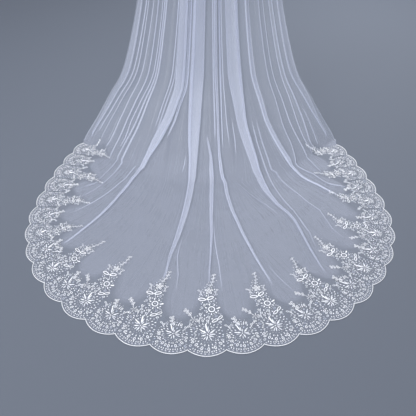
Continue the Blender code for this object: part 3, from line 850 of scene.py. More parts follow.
def loopLine(length, width, roundness, count):
    # a closed outline that starts at the origin; roundness 0 is a pointed leaf, 1 a drop with a round end
    turn = circle(count)
    y = length * (1.0 - np.cos(turn)) * 0.5
    x = width * 0.5 * np.sin(turn) * np.abs(np.sin(turn * 0.5)) ** roundness
    return np.stack([x, y], 1)


def ringPoints(radius, height, count):
    return [(radius * math.cos(angle), radius * math.sin(angle), height) for angle in circle(count)]


def elementShapes():
    # of each: points in mm, faces, and the way along the thread
    half, crown = laceBorder["threadHalf"], laceBorder["threadCrown"]
    turn, swirl = circle(16), np.linspace(0.0, 4.2, 8)
    ring = np.stack([10 * np.cos(turn), 10 * np.sin(turn)], 1)
    curl = np.stack([(1 + swirl) * np.sin(swirl), 5 - (1 + swirl) * np.cos(swirl)], 1)
    blades = [ribbon([(0, 0), (x * 0.5, 4.5), (x, 8.5)], half * 0.8, crown) for x in (-3.9, 0, 3.9)]
    fan = (np.concatenate([blade[0] for blade in blades]),
           [tuple(corner + 9 * k for corner in face) for k in range(3) for face in blades[k][1]],
           np.concatenate([blade[2] for blade in blades]))
    return {
        "leaf": ribbon(loopLine(13, 7.4, 0.1, 10), half * 0.92, crown, True),
        "bowLeaf": ribbon(loopLine(25, 11, 0.3, 14), half * 1.1, crown * 1.2, True),
        "ray": solidDrop(19, 3.3, crown * 1.2),
        "petal": ribbon(loopLine(13, 9, 0.7, 11), half, crown, True),
        "drop": solidDrop(9, 4.6, crown * 1.2),
        "ring": ribbon(ring, half * 1.15, crown * 1.3, True),
        "dash": solidDrop(8, 3.1, crown),
        "curl": ribbon(curl, half * 0.85, crown),
        "dot": ([(0, 0, 1.2)] + ringPoints(1.9, 0.0, 6), [(0, 1 + k, 1 + (k + 1) % 6) for k in range(6)],
                np.zeros(7)),
        "fan": fan,
    }


def beadShapes():
    # a small cut bead: a flat top and two bands of facets
    points = [(0, 0, 1.45)] + ringPoints(0.75, 1.25, 6) + ringPoints(1.35, 0.35, 6)
    faces = [(0, 1 + k, 1 + (k + 1) % 6) for k in range(6)] + tubeFaces(2, 6, first=1, flip=True)
    return {"bead": (points, faces, np.zeros(len(points)))}


def scallopEdge(x):
    phase = x / laceBorder["pitch"] + 0.5
    return -veilForm["scallopDepth"] * 1000.0 * abs(math.sin(math.pi * phase)) ** veilForm["scallopPower"]


class Drawing:
    # a motif in the making: elements, beads, stems, and the discs that are taken
    def __init__(self):
        self.elements, self.beads, self.stems, self.taken = [], [], [], []

    def discs(self, kind, x, y, turn, size):
        length, half = elementReach.get(kind, (0.0, 10.0 * size))
        count = max(int(length / (half * 1.3)) + 1, 1)
        places = (np.arange(count) + 0.5) / count * length * size
        return [(x - math.sin(turn) * place, y + math.cos(turn) * place, half * size) for place in places]

    # shade is how bright the thread is painted at this element: painted shade and glint
    def put(self, kind, x, y, degrees=0.0, size=1.0, shade=1.0):
        turn = math.radians(degrees)
        self.elements.append((elementKinds.index(kind), x, y, turn, size, shade))
        self.taken += self.discs(kind, x, y, turn, size)

    def bead(self, x, y, size=1.0):
        self.beads.append((0, x, y, 0.0, size, 1.0))
        self.taken.append((x, y, 1.5 * size))

    def beadArc(self, x, y, radius, start, step, size=1.0):
        for degrees in range(start, 360, step):
            self.bead(*polar(x, y, radius, degrees), size)

    def ringOf(self, kind, x, y, radius, count, size=1.0, start=0.0, keep=None, shade=1.0):
        for index in range(count):
            degrees = start + 360.0 * index / count
            if not keep or keep(*polar(x, y, radius + elementReach[kind][0] * size, degrees)):
                self.put(kind, *polar(x, y, radius, degrees), degrees - 90.0, size, shade)

    def stem(self, line, leaves=(), size=0.8, shade=0.75):
        # a curved stem through the points; leaves are places along it, negative for the other side
        line, last = np.array(line, float), len(line) - 1
        line = sampled(line, np.arange(last + 1), np.linspace(0, last, 4 * last + 1))
        for _ in range(3):
            line[1:-1] = (line[:-2] + 2 * line[1:-1] + line[2:]) * 0.25
        self.stems.append(line)
        self.taken += [(x, y, 1.2) for x, y in line]
        for leaf in leaves:
            spot = abs(leaf) * (len(line) - 1)
            low = min(int(spot), len(line) - 2)
            ahead = line[low + 1] - line[low]
            turn = math.degrees(math.atan2(ahead[1], ahead[0])) - 90.0
            turn += math.copysign(laceBorder["leafTurn"], leaf)
            self.put("leaf", *(line[low] + ahead * (spot - low)), turn, size, shade)

    def free(self, discs):
        taken = np.array(self.taken)
        for x, y, radius in discs:
            away = np.hypot(taken[:, 0] - x, taken[:, 1] - y) - taken[:, 2] - radius
            if away.min() < laceBorder["fillGap"]:
                return False
        return True

    def fill(self, centre, low, high, heights, lefts, rights, seed):
        # what is left between the sides is filled with small stitches that radiate from the rosette
        kinds, side, tries = laceBorder["fillKinds"], laceBorder["fillSide"], laceBorder["fillTries"]
        rng = np.random.default_rng(seed)
        for attempt in range(tries):
            x, y = rng.uniform(-side, side), rng.uniform(low, high)
            kind = int(attempt / tries * len(kinds) + rng.uniform(0, 0.8))
            kind, size = kinds[min(kind, len(kinds) - 1)]
            edge = scallopEdge(x) + laceBorder["inset"]
            turn = math.atan2(y - centre[1], x - centre[0]) - math.pi / 2 + rng.uniform(-0.5, 0.5)
            discs = self.discs(kind, x, y, turn, size)
            inside = all(np.interp(py, heights, lefts) + r < px < np.interp(py, heights, rights) - r
                         and py - r > edge for px, py, r in discs)
            if inside and self.free(discs):
                if kind == "dot" and rng.uniform() < laceBorder["fillBeads"]:
                    self.bead(x, y, 1.1)
                    continue
                self.elements.append((elementKinds.index(kind), x, y, turn, size, rng.uniform(0.35, 1.0)))
                self.taken += discs


def aboveEdge(x, y):
    clear = laceBorder["ringClear"]
    return abs(x) < laceBorder["ringHalf"] and y > scallopEdge(x) + laceBorder["inset"] + clear


def rosette(drawing, x, y, rays, scale, dashes, leaves, beads):
    # the low part that every motif has: stitches along the edge, and rings round a knot
    for half, count, back, inset, turn, sway, size, shade in laceBorder["edgeRows"]:
        for place in np.linspace(-half, half, count):
            slope = (scallopEdge(place + 1.0) - scallopEdge(place - 1.0)) * 0.5
            degrees = math.degrees(math.atan(slope)) + turn + sway * math.sin(place)
            drawing.put("dash", place - back, scallopEdge(place - back) + inset, degrees, size, shade)
    # rays of uneven length, the longest ones upwards
    lengths = laceBorder["rayLengths"]
    drawing.put("dot", x, y, 0, laceBorder["knotSize"])
    for index in range(rays):
        degrees = 360.0 * (index + 0.35 * math.sin(index * 2.3)) / rays
        size = scale * lengths[index % len(lengths)] * (1.05 + 0.25 * math.sin(math.radians(degrees)))
        near = laceBorder["rayStart"] + laceBorder["rayStep"] * (index % 3)
        if aboveEdge(*polar(x, y, near + elementReach["ray"][0] * size, degrees)):
            # every other ray is painted duller, as painted shade
            drawing.put("ray", *polar(x, y, near, degrees), degrees - 90.0, size, 1.0 if index % 2 else 0.7)
    drawing.ringOf("dash", x, y, *dashes, aboveEdge)
    top = y + laceBorder["leafRise"]
    drawing.ringOf("leaf", x, y, *leaves, lambda tipX, tipY: aboveEdge(tipX, tipY) and tipY < top, 0.8)
    drawing.beadArc(x, y, *beads)


def tallMotif():
    drawing = Drawing()
    rosette(drawing, 3, 64, 17, 1.25, (40, 20, 1.0, 4.0), (52, 15, 0.95, 9.0), (33, 190, 20))
    # flower and wing on the left
    drawing.bead(-46, 124, 1.5)
    drawing.ringOf("ray", -46, 124, 3.4, 6, 0.62, 12.0)
    drawing.stem([(-54, 136), (-60, 148), (-70, 158), (-80, 166)], (0.15, -0.25, 0.5, -0.6, 0.8, -0.86), 0.72)
    drawing.stem([(-26, 104), (-27, 122), (-22, 140), (-14, 154)], (0.2, -0.45, 0.7), 0.85)
    # a pair of leaves on the right
    drawing.put("bowLeaf", 20, 114, -58, 0.95)
    drawing.put("bowLeaf", 41, 126, -48, 0.85)
    drawing.stem([(6, 106), (8, 122), (14, 142)], (0.25, 0.7), 0.85)
    # ring flower
    drawing.put("ring", 19, 169, 0, 1.1)
    drawing.bead(19, 169, 1.6)
    drawing.ringOf("drop", 19, 169, 16.5, 7, 1.0, 10.0)
    drawing.put("drop", 40, 172, -60, 1.35)
    drawing.taken.append((19, 169, 14.0))
    # bow of two leaves, small flower and tip
    drawing.put("bowLeaf", -2, 211, 84, 1.1)
    drawing.put("bowLeaf", 2, 212, -62, 1.1)
    drawing.stem([(17, 190), (8, 200), (6, 222), (9, 238)])
    drawing.put("dot", 10, 251, 0, 1.1)
    drawing.ringOf("petal", 10, 251, 4.2, 5, 0.85, 18.0, None, 0.9)
    drawing.stem([(-12, 226), (-20, 238), (-24, 252)], (0.3, -0.7, 0.95), 0.7, 0.6)
    drawing.stem([(30, 228), (37, 242), (38, 260)], (-0.2, 0.5, -0.8), 0.7, 0.6)
    drawing.stem([(14, 270), (20, 284), (27, 300), (29, 318), (32, 333)],
                 (0.05, -0.12, 0.3, -0.38, 0.56, -0.64, 0.82, -0.9), 0.66, 0.6)
    for y, x in ((272, 2), (270, 30), (292, 10), (300, 40), (322, 20)):
        drawing.bead(x, y, 1.15)
    drawing.fill((3, 64), -16.0, 280.0, (-23, 40, 62, 84, 104, 124, 142, 156, 200, 222, 246, 268, 290, 335),
                 (-64, -64, -64, -62, -66, -64, -46, -26, -24, -30, -26, -8, 6, 24),
                 (64, 64, 64, 60, 56, 64, 58, 50, 40, 36, 42, 30, 32, 34), 5)
    return drawing


def lowMotif():
    drawing = Drawing()
    rosette(drawing, 2, 60, 15, 1.05, (35, 17, 0.95, 9.0), (46, 13, 0.9, 16.4), (29, 200, 24, 0.9))
    # a sprig above, and one to each side
    drawing.stem([(-3, 92), (-7, 104), (-14, 116), (-17, 128)],
                 (0.15, -0.25, 0.5, -0.6, 0.86, -0.92), 0.78, 0.8)
    drawing.put("ray", 12, 96, -22, 0.8)
    drawing.stem([(-34, 80), (-42, 90), (-45, 100)], (-0.4, 0.9), 0.75)
    drawing.stem([(36, 78), (44, 88), (47, 98)], (0.4, -0.9), 0.75)
    for x, y in ((-28, 108), (4, 118), (20, 114)):
        drawing.bead(x, y, 1.2)
    drawing.fill((2, 60), -16.0, 122.0, (-23, 56, 76, 96, 112, 128), (-64, -62, -54, -40, -28, -22),
                 (64, 62, 54, 38, 16, -8), 8)
    return drawing


def scatterTree():
    # sets one of several small shapes on every point of a drawing
    tree, names, given = newTree("scatterElements", {
        "Geometry": "Geometry", "Elements": "Collection", "Millimetre": "Float", "Finish": "Material"})
    shapes = addNode(tree, "GeometryNodeCollectionInfo", {
        "Collection": given["Elements"], "Separate Children": True, "Reset Children": True})
    kind, turn, size = (
        addNode(tree, "GeometryNodeInputNamedAttribute", {"Name": name}, data_type=data).outputs["Attribute"]
        for name, data in (("kind", "INT"), ("turn", "FLOAT"), ("size", "FLOAT")))
    placed = addNode(tree, "GeometryNodeInstanceOnPoints", {
        "Points": given["Geometry"], "Instance": shapes.outputs[0],
        "Pick Instance": True, "Instance Index": kind,
        "Rotation": addNode(tree, "ShaderNodeCombineXYZ", {"Z": turn}).outputs[0],
        "Scale": maths(tree, "MULTIPLY", size, given["Millimetre"])})
    endTree(tree, placed.outputs[0], given["Finish"])
    return tree, names


scatterNodes, scatterNames = scatterTree()


def scatter(name, rows, shapes, finish):
    # rows hold kind, x, y in mm, turn, size and shade
    collection = bpy.data.collections.new(name)
    for index, (kind, (points, faces, along)) in enumerate(shapes.items()):
        shape = drawnMesh(name + str(index) + kind, points, faces)
        setMarks(shape, "along", along * mm)
        collection.objects.link(bpy.data.objects.new(shape.name, shape))
    rows = np.array(rows)
    mesh = bpy.data.meshes.new(name)
    mesh.from_pydata(np.pad(rows[:, 1:3] * mm, ((0, 0), (0, 1))).tolist(), [], [])
    for label, column, data in (("kind", 0, "INT"), ("turn", 3, "FLOAT"), ("size", 4, "FLOAT"),
                                ("shade", 5, "FLOAT")):
        setMarks(mesh, label, rows[:, column], data)
    made = runTree(name, mesh, scatterNodes, scatterNames, Elements=collection, Millimetre=mm, Finish=finish)
    for element in list(collection.objects):
        bpy.data.objects.remove(element)
    bpy.data.collections.remove(collection)
    return readMesh(made)


def stemParts(drawing):
    parts = []
    for line in drawing.stems:
        points, faces, along = ribbon(line, laceBorder["threadHalf"] * 0.7, laceBorder["threadCrown"])
        parts.append((points * mm, np.full(len(faces), 4), np.array(faces).ravel(),
                      np.stack([along * mm, np.full(len(along), 0.7)])))
    return parts


def mergeParts(parts):
    points, sizes, corners, marks = zip(*parts)
    offsets = np.cumsum([0] + [len(part) for part in points[:-1]])
    return (np.concatenate(points), np.concatenate(sizes),
            np.concatenate([corner + offset for corner, offset in zip(corners, offsets)]),
            np.concatenate(marks, 1))


def layOnHem(u, inward):
    # plan position of a point that far in from the hem, on the blend of the folds' way and square
    hem, out = hemAt(u), hemOut(u)
    stretch = np.linalg.norm(hem - levelPoint(landing, u)[..., :2], axis=-1)
    inside = np.clip(inward, 0.0, None)
    spoke = floorPoint(1.0 - inside / stretch, u)[:, :2]
    square = hem - out * inside[:, None]
    turned = smooth((np.abs(u) - laceBorder["spokeTo"]) / (laceBorder["normalFrom"] - laceBorder["spokeTo"]))
    return spoke + (square - spoke) * turned[:, None] + out * np.clip(-inward, 0.0, None)[:, None]


def placeMotif(index, points):
    # plan position of every point of the motif on this scallop
    middle = (index + 0.5) / veilForm["scallops"] * 2.0 - 1.0
    width = laceBorder["pitch"] * mm
    step = 1.0 / veilForm["scallops"]
    pitch = np.linalg.norm(hemAt(middle + step) - hemAt(middle - step)) / width
    length, lean = 1.0, None
    if index % 2 == 0:
        length, lean = (value * mm for value in laceBorder["tall"][index // 2])
        length /= laceBorder["drawnHeight"]

    def place(x, y):
        inward = np.where(y > 0, y * length, y)
        u = middle + x / width * 2.0 / veilForm["scallops"]
        centre = np.full(len(x), middle)
        follow = layOnHem(np.clip(u, -1.0, 1.0), inward)
        spine = layOnHem(centre, inward)
        side = rightOf(unit(layOnHem(centre, inward + laceBorder["lookAhead"]) - spine))
        straight = spine + side * (x * pitch)[:, None]
        return follow + (straight - follow) * smooth(y / (laceBorder["followTo"] * mm))[:, None]

    laid = place(points[:, 0], points[:, 1])
    if lean is not None:
        side = -rightOf(hemOut(middle))
        tipX, tipY = (np.array([value * mm]) for value in laceBorder["drawnTip"])
        leansNow = float((place(tipX, tipY)[0] - hemAt(middle)) @ side)
        share = np.clip(points[:, 1] / laceBorder["drawnHeight"], 0.0, 1.05) ** laceBorder["leanPower"]
        laid = laid + side * ((lean - leansNow) * share)[:, None]
    return laid


def onNet(surface, plan, above):
    # the plan's points, that far above the net
    heights = np.full(len(plan), floorZ + netPiece["aboveFloor"])
    for index, (x, y) in enumerate(plan):
        start = Vector((x, y, floorZ + laceBorder["laidFrom"]))
        hit = surface.ray_cast(start, Vector((0.0, 0.0, -1.0)))[0]
        if hit:
            heights[index] = hit.z
    return np.column_stack([plan, heights + above])


def stitchedObject(name, parts, material):
    points, sizes, corners, marks = mergeParts(parts)
    mesh = newMesh(name, points, corners, sizes)
    setMarks(mesh, "along", marks[0])
    setMarks(mesh, "shade", marks[1])
    mesh.materials.append(material)
    print(name + ":", int((sizes - 2).sum()), "triangles")
    return addObject(name, mesh)


threadFinish = {
    "colour": (0.90, 0.92, 0.97), "roughness": 0.36, "bump": (0.35, 0.0002),
    "values": {"Sheen Weight": 0.3, "Sheen Roughness": 0.35, "Specular IOR Level": 0.6},
    "stitchLength": 0.00055, "patchScale": 110.0, "patchShare": 0.9,
    # colour at a shade, from the dullest stitches to the brightest: painted shade and glint on one white
    # thread
    "shadedStitch": ((0.28, 0.32, 0.44, 1.0), 0.45), "light": ((0.94, 0.95, 1.0, 1.0), 1.35 / 1.4), "range": 1.4,
}


def threadMaterial():
    look = threadFinish
    material, tree, shader = newMaterial("satinThread", look)
    turns = maths(tree, "MULTIPLY", attribute(tree, "along"), 2.0 * math.pi / look["stitchLength"])
    addBump(tree, shader, maths(tree, "SINE", turns), *look["bump"])
    patch = noise(tree, objectPlace(tree), look["patchScale"], 2.0)
    # painted shade and glint: the stitch's shade mark, with a little noise, picks its colour on the ramp
    shade = maths(tree, "MULTIPLY_ADD", patch, look["patchShare"], attribute(tree, "shade"))
    ramp = addNode(tree, "ShaderNodeValToRGB", {"Fac": maths(tree, "DIVIDE", shade, look["range"])})
    for element, (colour, position) in zip(ramp.color_ramp.elements, (look["shadedStitch"], look["light"])):
        element.color, element.position = colour, position
    tree.links.new(ramp.outputs["Color"], shader.inputs["Base Color"])
    return material


def texturedMaterial(name, look):
    # roughness and bump follow one texture over the object
    material, tree, shader = newMaterial(name, look)
    texture = addNode(tree, look["texture"], {"Vector": objectPlace(tree), **look["inputs"]})
    height = texture.outputs[look["output"]]
    tree.links.new(mapRange(tree, height, *look["span"], *look["roughs"]), shader.inputs["Roughness"])
    if "bump" in look:
        addBump(tree, shader, height, *look["bump"])
    return material


# bump is its strength and distance, roughs the roughness at the ends of the texture's span
beadFinish = {
    "colour": (0.93, 0.94, 0.98), "roughness": 0.16,
    "values": {"Metallic": 0.45, "Coat Weight": 0.6, "Coat Roughness": 0.08},
    "texture": "ShaderNodeTexVoronoi", "inputs": {"Scale": 220.0}, "output": "Distance",
    "span": (0.0, 1.0), "roughs": (0.08, 0.32),
}
groundFinish = {
    # the ground net is coloured darker than the plain net: painted shade in the gaps between the stitches
    "colour": (0.42, 0.47, 0.58), "roughness": 0.6, "cellScale": 700.0,
    "threads": (0.02, 0.07, 0.42, 0.02),   # distance from a thread's middle, from and to, and cover there
}


def makeLace(net):
    thread = threadMaterial()
    glass = texturedMaterial("cutBead", beadFinish)
    stitched, beaded = {}, {}
    for name, drawing in {"tall": tallMotif(), "low": lowMotif()}.items():
        made = scatter(name + "Motif", drawing.elements, elementShapes(), thread)
        stitched[name] = mergeParts([made] + stemParts(drawing))
        beaded[name] = scatter(name + "Beads", drawing.beads, beadShapes(), glass)
        print(name, "motif:", len(drawing.elements), "stitches,", len(drawing.beads), "beads")
    surface = surfaceOf(net)
    groups = {"laceLeft": [], "laceFront": [], "laceRight": [], "laceBeads": []}
    for index in range(veilForm["scallops"]):
        kind = "low" if index % 2 else "tall"
        side = "laceLeft" if index < laceBorder["leftTo"] else "laceFront"
        side = "laceRight" if index >= laceBorder["rightFrom"] else side
        for group, (flat, sizes, corners, marks) in ((side, stitched[kind]), ("laceBeads", beaded[kind])):
            laid = onNet(surface, placeMotif(index, flat), laceBorder["aboveNet"] + flat[:, 2])
            groups[group].append((laid, sizes, corners, marks))
    pieces = [stitchedObject(name, parts, glass if name == "laceBeads" else thread)
              for name, parts in groups.items()]
    return pieces, surface


def makeLaceGround(surface):
    # the lace's own finer net, cut close round the motifs
    rows = laceBorder["groundRows"]
    count = veilForm["scallops"] * laceBorder["groundColumns"] + 1
    u = np.linspace(-1.0, 1.0, count)
    phase = (u + 1.0) * 0.5 * veilForm["scallops"]
    tall = np.array(laceBorder["tall"]) * mm
    nearest = np.clip(np.round((phase - 0.5) / 2.0), 0, len(tall) - 1).astype(int)
    near = 1.0 - np.clip(np.abs(phase - (nearest * 2 + 0.5)), 0.0, 1.0)
    length, lean = tall[nearest].T
    reach = laceBorder["low"] + (length - laceBorder["low"]) * near ** laceBorder["groundPeak"]
    out = hemOut(u)
    side = -rightOf(out)
    lean = (lean - ((layOnHem(u, length) - hemAt(u)) * side).sum(1)) * near ** laceBorder["groundLean"]
    grid, uv = np.zeros((rows, count, 3)), np.zeros((rows, count, 2))
    fade = np.zeros((rows, count))
    for row, share in enumerate(np.arange(rows) / (rows - 1.0)):
        inward = reach * share
        plan = layOnHem(u, inward) + side * (lean * (inward / length) ** laceBorder["leanPower"])[:, None]
        plan += out * (scallopReach(u) * (1.0 - share) ** 3)[:, None]
        grid[row] = onNet(surface, plan, laceBorder["groundAbove"])
        fade[row] = smooth((1.0 - share) / laceBorder["groundFade"])
        uv[row] = np.stack([hemAlong[-1] * (u + 1.0) * 0.5, inward], 1)
    faces = np.ascontiguousarray(gridFaces(rows, count)[:, ::-1])
    piece = clothObject("laceGround", grid.reshape(-1, 3), faces, uv.reshape(-1, 2))
    setMarks(piece.data, "fade", fade)
    material, tree, shader = newMaterial("fineLaceNet", groundFinish)
    cells = addNode(tree, "ShaderNodeTexVoronoi", {
        "Vector": clothPlace(tree), "Scale": groundFinish["cellScale"]}, feature="DISTANCE_TO_EDGE")
    threads = mapRange(tree, cells.outputs["Distance"], *groundFinish["threads"])
    tree.links.new(maths(tree, "MULTIPLY", threads, attribute(tree, "fade")), shader.inputs["Alpha"])
    piece.data.materials.append(material)
    return piece


def trimBehind(net, ground):
    # marks the net that lies under the lace
    cover = surfaceOf(ground)
    points, _, corners, _ = readMesh(net.data)
    marks = np.zeros(len(points))
    for index in np.nonzero(points[:, 2] < floorZ + netPiece["wrinklesBelow"])[0]:
        start = Vector((points[index, 0], points[index, 1], floorZ - 0.01))
        marks[index] = 1.0 if cover.ray_cast(start, Vector((0.0, 0.0, 1.0)))[0] else 0.0
    # the cut edge is softened over three points each way
    marks = marks.reshape(-1, corners[1]).astype(np.float32)
    for _ in range(3):
        wide = np.pad(marks, 1, mode="edge")
        marks = (marks * 2.0 + wide[:-2, 1:-1] + wide[2:, 1:-1] + wide[1:-1, :-2] + wide[1:-1, 2:]) / 6.0
    setMarks(net.data, "trim", marks)


lacePieces, netSurface = makeLace(net)
laceGround = makeLaceGround(netSurface)
trimBehind(net, laceGround)
for piece in lacePieces + [laceGround]:
    setPiece(piece, "lace", "lace_border")
print("lace set")


cordFinish = {
    "colour": (0.93, 0.945, 0.99), "roughness": 0.34, "values": {"Sheen Weight": 0.2},
    "texture": "ShaderNodeTexNoise", "inputs": {"Scale": 1500.0, "Detail": 2.0}, "output": "Fac",
    "span": usualNoise, "roughs": (0.28, 0.45), "bump": (0.25, 0.0002),
}
edgeCord = {
    "coreRadius": 0.0010, "stitchRadius": 0.0014, "stitchLength": 0.0020, "spacing": 0.0023,
    "stitchTilt": 0.30, "stitchEnd": 0.80,
    "inset": 0.0006, "perScallop": 24, "aboveFloor": 0.0022,
}


def stitchMesh(radius, length):
    # one turn of satin thread round the cord, drawn along Z
    points = []
    for height, share in ((-0.5, edgeCord["stitchEnd"]), (0.0, 1.0), (0.5, edgeCord["stitchEnd"])):
        for angle in circle(6):
            tilt = edgeCord["stitchTilt"] * math.cos(angle) * radius
            points.append((share * radius * math.cos(angle), share * radius * math.sin(angle),
                           height * length + tilt))
    return drawnMesh("stitch", points, tubeFaces(3, 6))


def windTree():
    # thread wound round a core along a path
    tree, names, given = newTree("woundCord", {
        "Geometry": "Geometry", "Stitch": "Object", "Spacing": "Float", "Core": "Float",
        "Finish": "Material"})
    path = addNode(tree, "GeometryNodeMeshToCurve", {"Mesh": given["Geometry"]})
    even = addNode(tree, "GeometryNodeResampleCurve", {"Curve": path.outputs[0], "Length": given["Spacing"]},
                   mode="LENGTH")
    spots = addNode(tree, "GeometryNodeCurveToPoints", {"Curve": even.outputs[0]}, mode="EVALUATED")
    stitch = addNode(tree, "GeometryNodeObjectInfo", {"Object": given["Stitch"]})
    wound = addNode(tree, "GeometryNodeInstanceOnPoints", {
        "Points": spots.outputs["Points"], "Instance": stitch.outputs["Geometry"],
        "Rotation": spots.outputs["Rotation"]})
    ring = addNode(tree, "GeometryNodeCurvePrimitiveCircle", {"Resolution": 6, "Radius": given["Core"]})
    core = addNode(tree, "GeometryNodeCurveToMesh", {
        "Curve": even.outputs[0], "Profile Curve": ring.outputs["Curve"], "Fill Caps": True})
    join = addNode(tree, "GeometryNodeJoinGeometry", {"Geometry": wound.outputs[0]})
    tree.links.new(core.outputs[0], join.inputs[0])
    endTree(tree, join.outputs[0], given["Finish"])
    return tree, names


windNodes, windNames = windTree()


def windPath(name, points, radius, length, spacing, core, finish):
    mesh = bpy.data.meshes.new(name + "Path")
    mesh.from_pydata(points.tolist(), [(k, k + 1) for k in range(len(points) - 1)], [])
    stitch = bpy.data.objects.new("stitch", stitchMesh(radius, length))
    made = runTree(name, mesh, windNodes, windNames, Stitch=stitch, Spacing=spacing, Core=core, Finish=finish)
    bpy.data.objects.remove(stitch)
    made.name = name
    return addObject(name, made)


def makeCord(finish):
    u = np.linspace(-1.0, 1.0, veilForm["scallops"] * edgeCord["perScallop"] + 1)
    plan = hemAt(u) + hemOut(u) * (scallopReach(u) - edgeCord["inset"])[:, None]
    path = np.column_stack([plan, np.full(len(u), floorZ + edgeCord["aboveFloor"])])
    return windPath("cordedEdge", path, edgeCord["stitchRadius"], edgeCord["stitchLength"],
                    edgeCord["spacing"], edgeCord["coreRadius"], finish)


cordThread = texturedMaterial("cordThread", cordFinish)
cord = makeCord(cordThread)
setPiece(cord, "cord", "edge_cord")
print("cord:", sum(len(face.vertices) - 2 for face in cord.data.polygons), "triangles")


metalFinish = {
    "colour": (0.78, 0.79, 0.82), "roughness": 0.22, "values": {"Metallic": 1.0},
    "texture": "ShaderNodeTexNoise", "inputs": {"Scale": 320.0, "Detail": 4.0}, "output": "Fac",
    "span": usualNoise, "roughs": (0.14, 0.34), "bump": (0.12, 0.0001),
}
satinFinish = {
    "colour": (0.56, 0.60, 0.70), "roughness": 0.42, "values": {"Sheen Weight": 0.4, "Sheen Roughness": 0.3},
    "weave": {"Scale": 900.0, "Distortion": 1.5}, "bump": (0.3, 0.0002),
    "patchScale": 140.0, "roughs": (0.30, 0.46),
}
headingPiece = {
    "halfWidth": 0.047, "nearY": -0.0013, "farY": -0.0073, "topZ": 0.0065, "bottomZ": -0.0092,
    "gatherDepth": 0.0008, "gatherRise": 0.00025, "columns": 240, "ring": 18, "squareness": 3.2,
    "endRound": 0.0016, "endFull": 0.62,
    "stitchSpacing": 0.0036, "stitchLevels": (0.0028, -0.0052), "stitchAbove": 0.00012,
    "stitchLong": 2.3, "stitchHalf": 0.42,
    "wrapRadius": 0.00042, "wrapSpacing": 0.00085, "wrapClear": 0.0007, "wrapCorner": 0.002,
}
combPiece = {
    "halfWidth": 0.046, "teeth": 16, "spineHalfY": 0.0012, "spineHalfZ": 0.0030,
    "spineColumns": 48, "spineRing": 16, "squareness": 2.6, "endRound": 0.0022, "endFull": 0.35,
    "toothFrom": 1.4, "toothLength": 42.0, "toothCurve": 7.0, "toothHalfWidth": 1.15, "toothHalfDepth": 0.85,
    "toothRows": 14, "toothSides": 10, "toothSlims": 0.45,
}
toothPitch = combPiece["halfWidth"] * 2.0 / (2 * combPiece["teeth"] - 1)


def roundedRing(halfY, halfZ, count, squareness):
    turn = circle(count)
    reach = (np.abs(np.cos(turn)) ** squareness + np.abs(np.sin(turn)) ** squareness) ** (-1.0 / squareness)
    return halfY * reach * np.cos(turn), halfZ * reach * np.sin(turn)


def fullness(piece, x):
    # a bar is full in the middle and rounds off towards its ends
    near = min((piece["halfWidth"] - abs(x)) / piece["endRound"], 1.0)
    return piece["endFull"] + (1.0 - piece["endFull"]) * math.sqrt(max(near * (2.0 - near), 0.0))


def barMesh(name, xs, sections):
    # a closed bar along X; each section is its ring of (y, z), the ends are capped
    count = len(sections[0][0])
    points = [np.stack([np.full(count, x), y, z], 1) for x, (y, z) in zip(xs, sections)]
    points += [[(xs[end], sections[end][0].mean(), sections[end][1].mean())] for end in (0, -1)]
    faces = tubeFaces(len(xs), count)
    start, last = len(xs) * count, (len(xs) - 1) * count
    for k in range(count):
        faces += [(start, (k + 1) % count, k), (start + 1, last + k, last + (k + 1) % count)]
    return drawnMesh(name, np.concatenate(points), faces)


def gathers(x):
    # uneven small gathers of the net under its binding
    return (0.55 * np.sin(x * 2200.0 + 1.3 * np.sin(x * 260.0)) + 0.3 * np.sin(x * 1340.0 + 0.8)
            + 0.15 * np.sin(x * 3900.0))


def makeHeading(finish):
    size = headingPiece
    xs = np.linspace(-size["halfWidth"], size["halfWidth"], size["columns"] + 1)
    middleY, halfY = (size["nearY"] + size["farY"]) * 0.5, (size["nearY"] - size["farY"]) * 0.5
    middleZ, halfZ = (size["topZ"] + size["bottomZ"]) * 0.5, (size["topZ"] - size["bottomZ"]) * 0.5
    sections = []
    for x in xs:
        full = fullness(size, x)
        y, z = roundedRing(halfY * full, halfZ * full, size["ring"], size["squareness"])
        outer = np.clip(-y / halfY, 0.0, 1.0)
        y = y + outer * size["gatherDepth"] * (0.5 - 0.5 * gathers(x)) * (0.55 + 0.45 * np.abs(z) / halfZ)
        z = z + np.sign(z) * size["gatherRise"] * gathers(x + 0.4) * np.abs(z) / halfZ
        sections.append((y + middleY, z + middleZ))
    piece = addObject("boundHeading", barMesh("boundHeading", xs, sections))
    piece.data.materials.append(finish)
    return piece


def seamStitch():
    length, half = headingPiece["stitchLong"], headingPiece["stitchHalf"]
    points = []
    for place, wide, lift in ((-0.5, 0.35, 0.0), (-0.32, 0.9, 0.30), (0.0, 1.0, 0.42), (0.32, 0.9, 0.30),
                              (0.5, 0.35, 0.0)):
        points += [(place * length, half * wide * side, lift * raised)
                   for side, raised in ((-1.0, 0), (-0.6, 1), (0.6, 1), (1.0, 0))]
    return {"seam": (points, gridFaces(5, 4), np.zeros(len(points)))}


def combTooth():
    # one tine, drawn downwards along Y with its curve along Z, in mm
    size = combPiece
    rows, count = size["toothRows"], size["toothSides"]
    points = []
    for row in range(rows + 1):
        share = row / rows
        tip = 1.0 if share < 0.93 else 0.72 if row < rows else 0.25
        slim = (1.0 - size["toothSlims"] * share) * tip
        points += [(size["toothHalfWidth"] * slim * math.cos(angle), size["toothLength"] * share,
                    size["toothCurve"] * share ** 2 + size["toothHalfDepth"] * slim * math.sin(angle))
                   for angle in circle(count)]
    faces = tubeFaces(rows + 1, count, flip=True) + [tuple(range(rows * count, (rows + 1) * count))[::-1]]
    return {"tooth": (points, faces, np.zeros(len(points)))}


def scatterUpright(name, rows, shapes, finish):
    # a drawing in the XY plane is turned to face backwards: Y becomes down
    points, sizes, corners, marks = scatter(name, rows, shapes, finish)
    return points[:, [0, 2, 1]] * (1.0, 1.0, -1.0), sizes, corners, marks


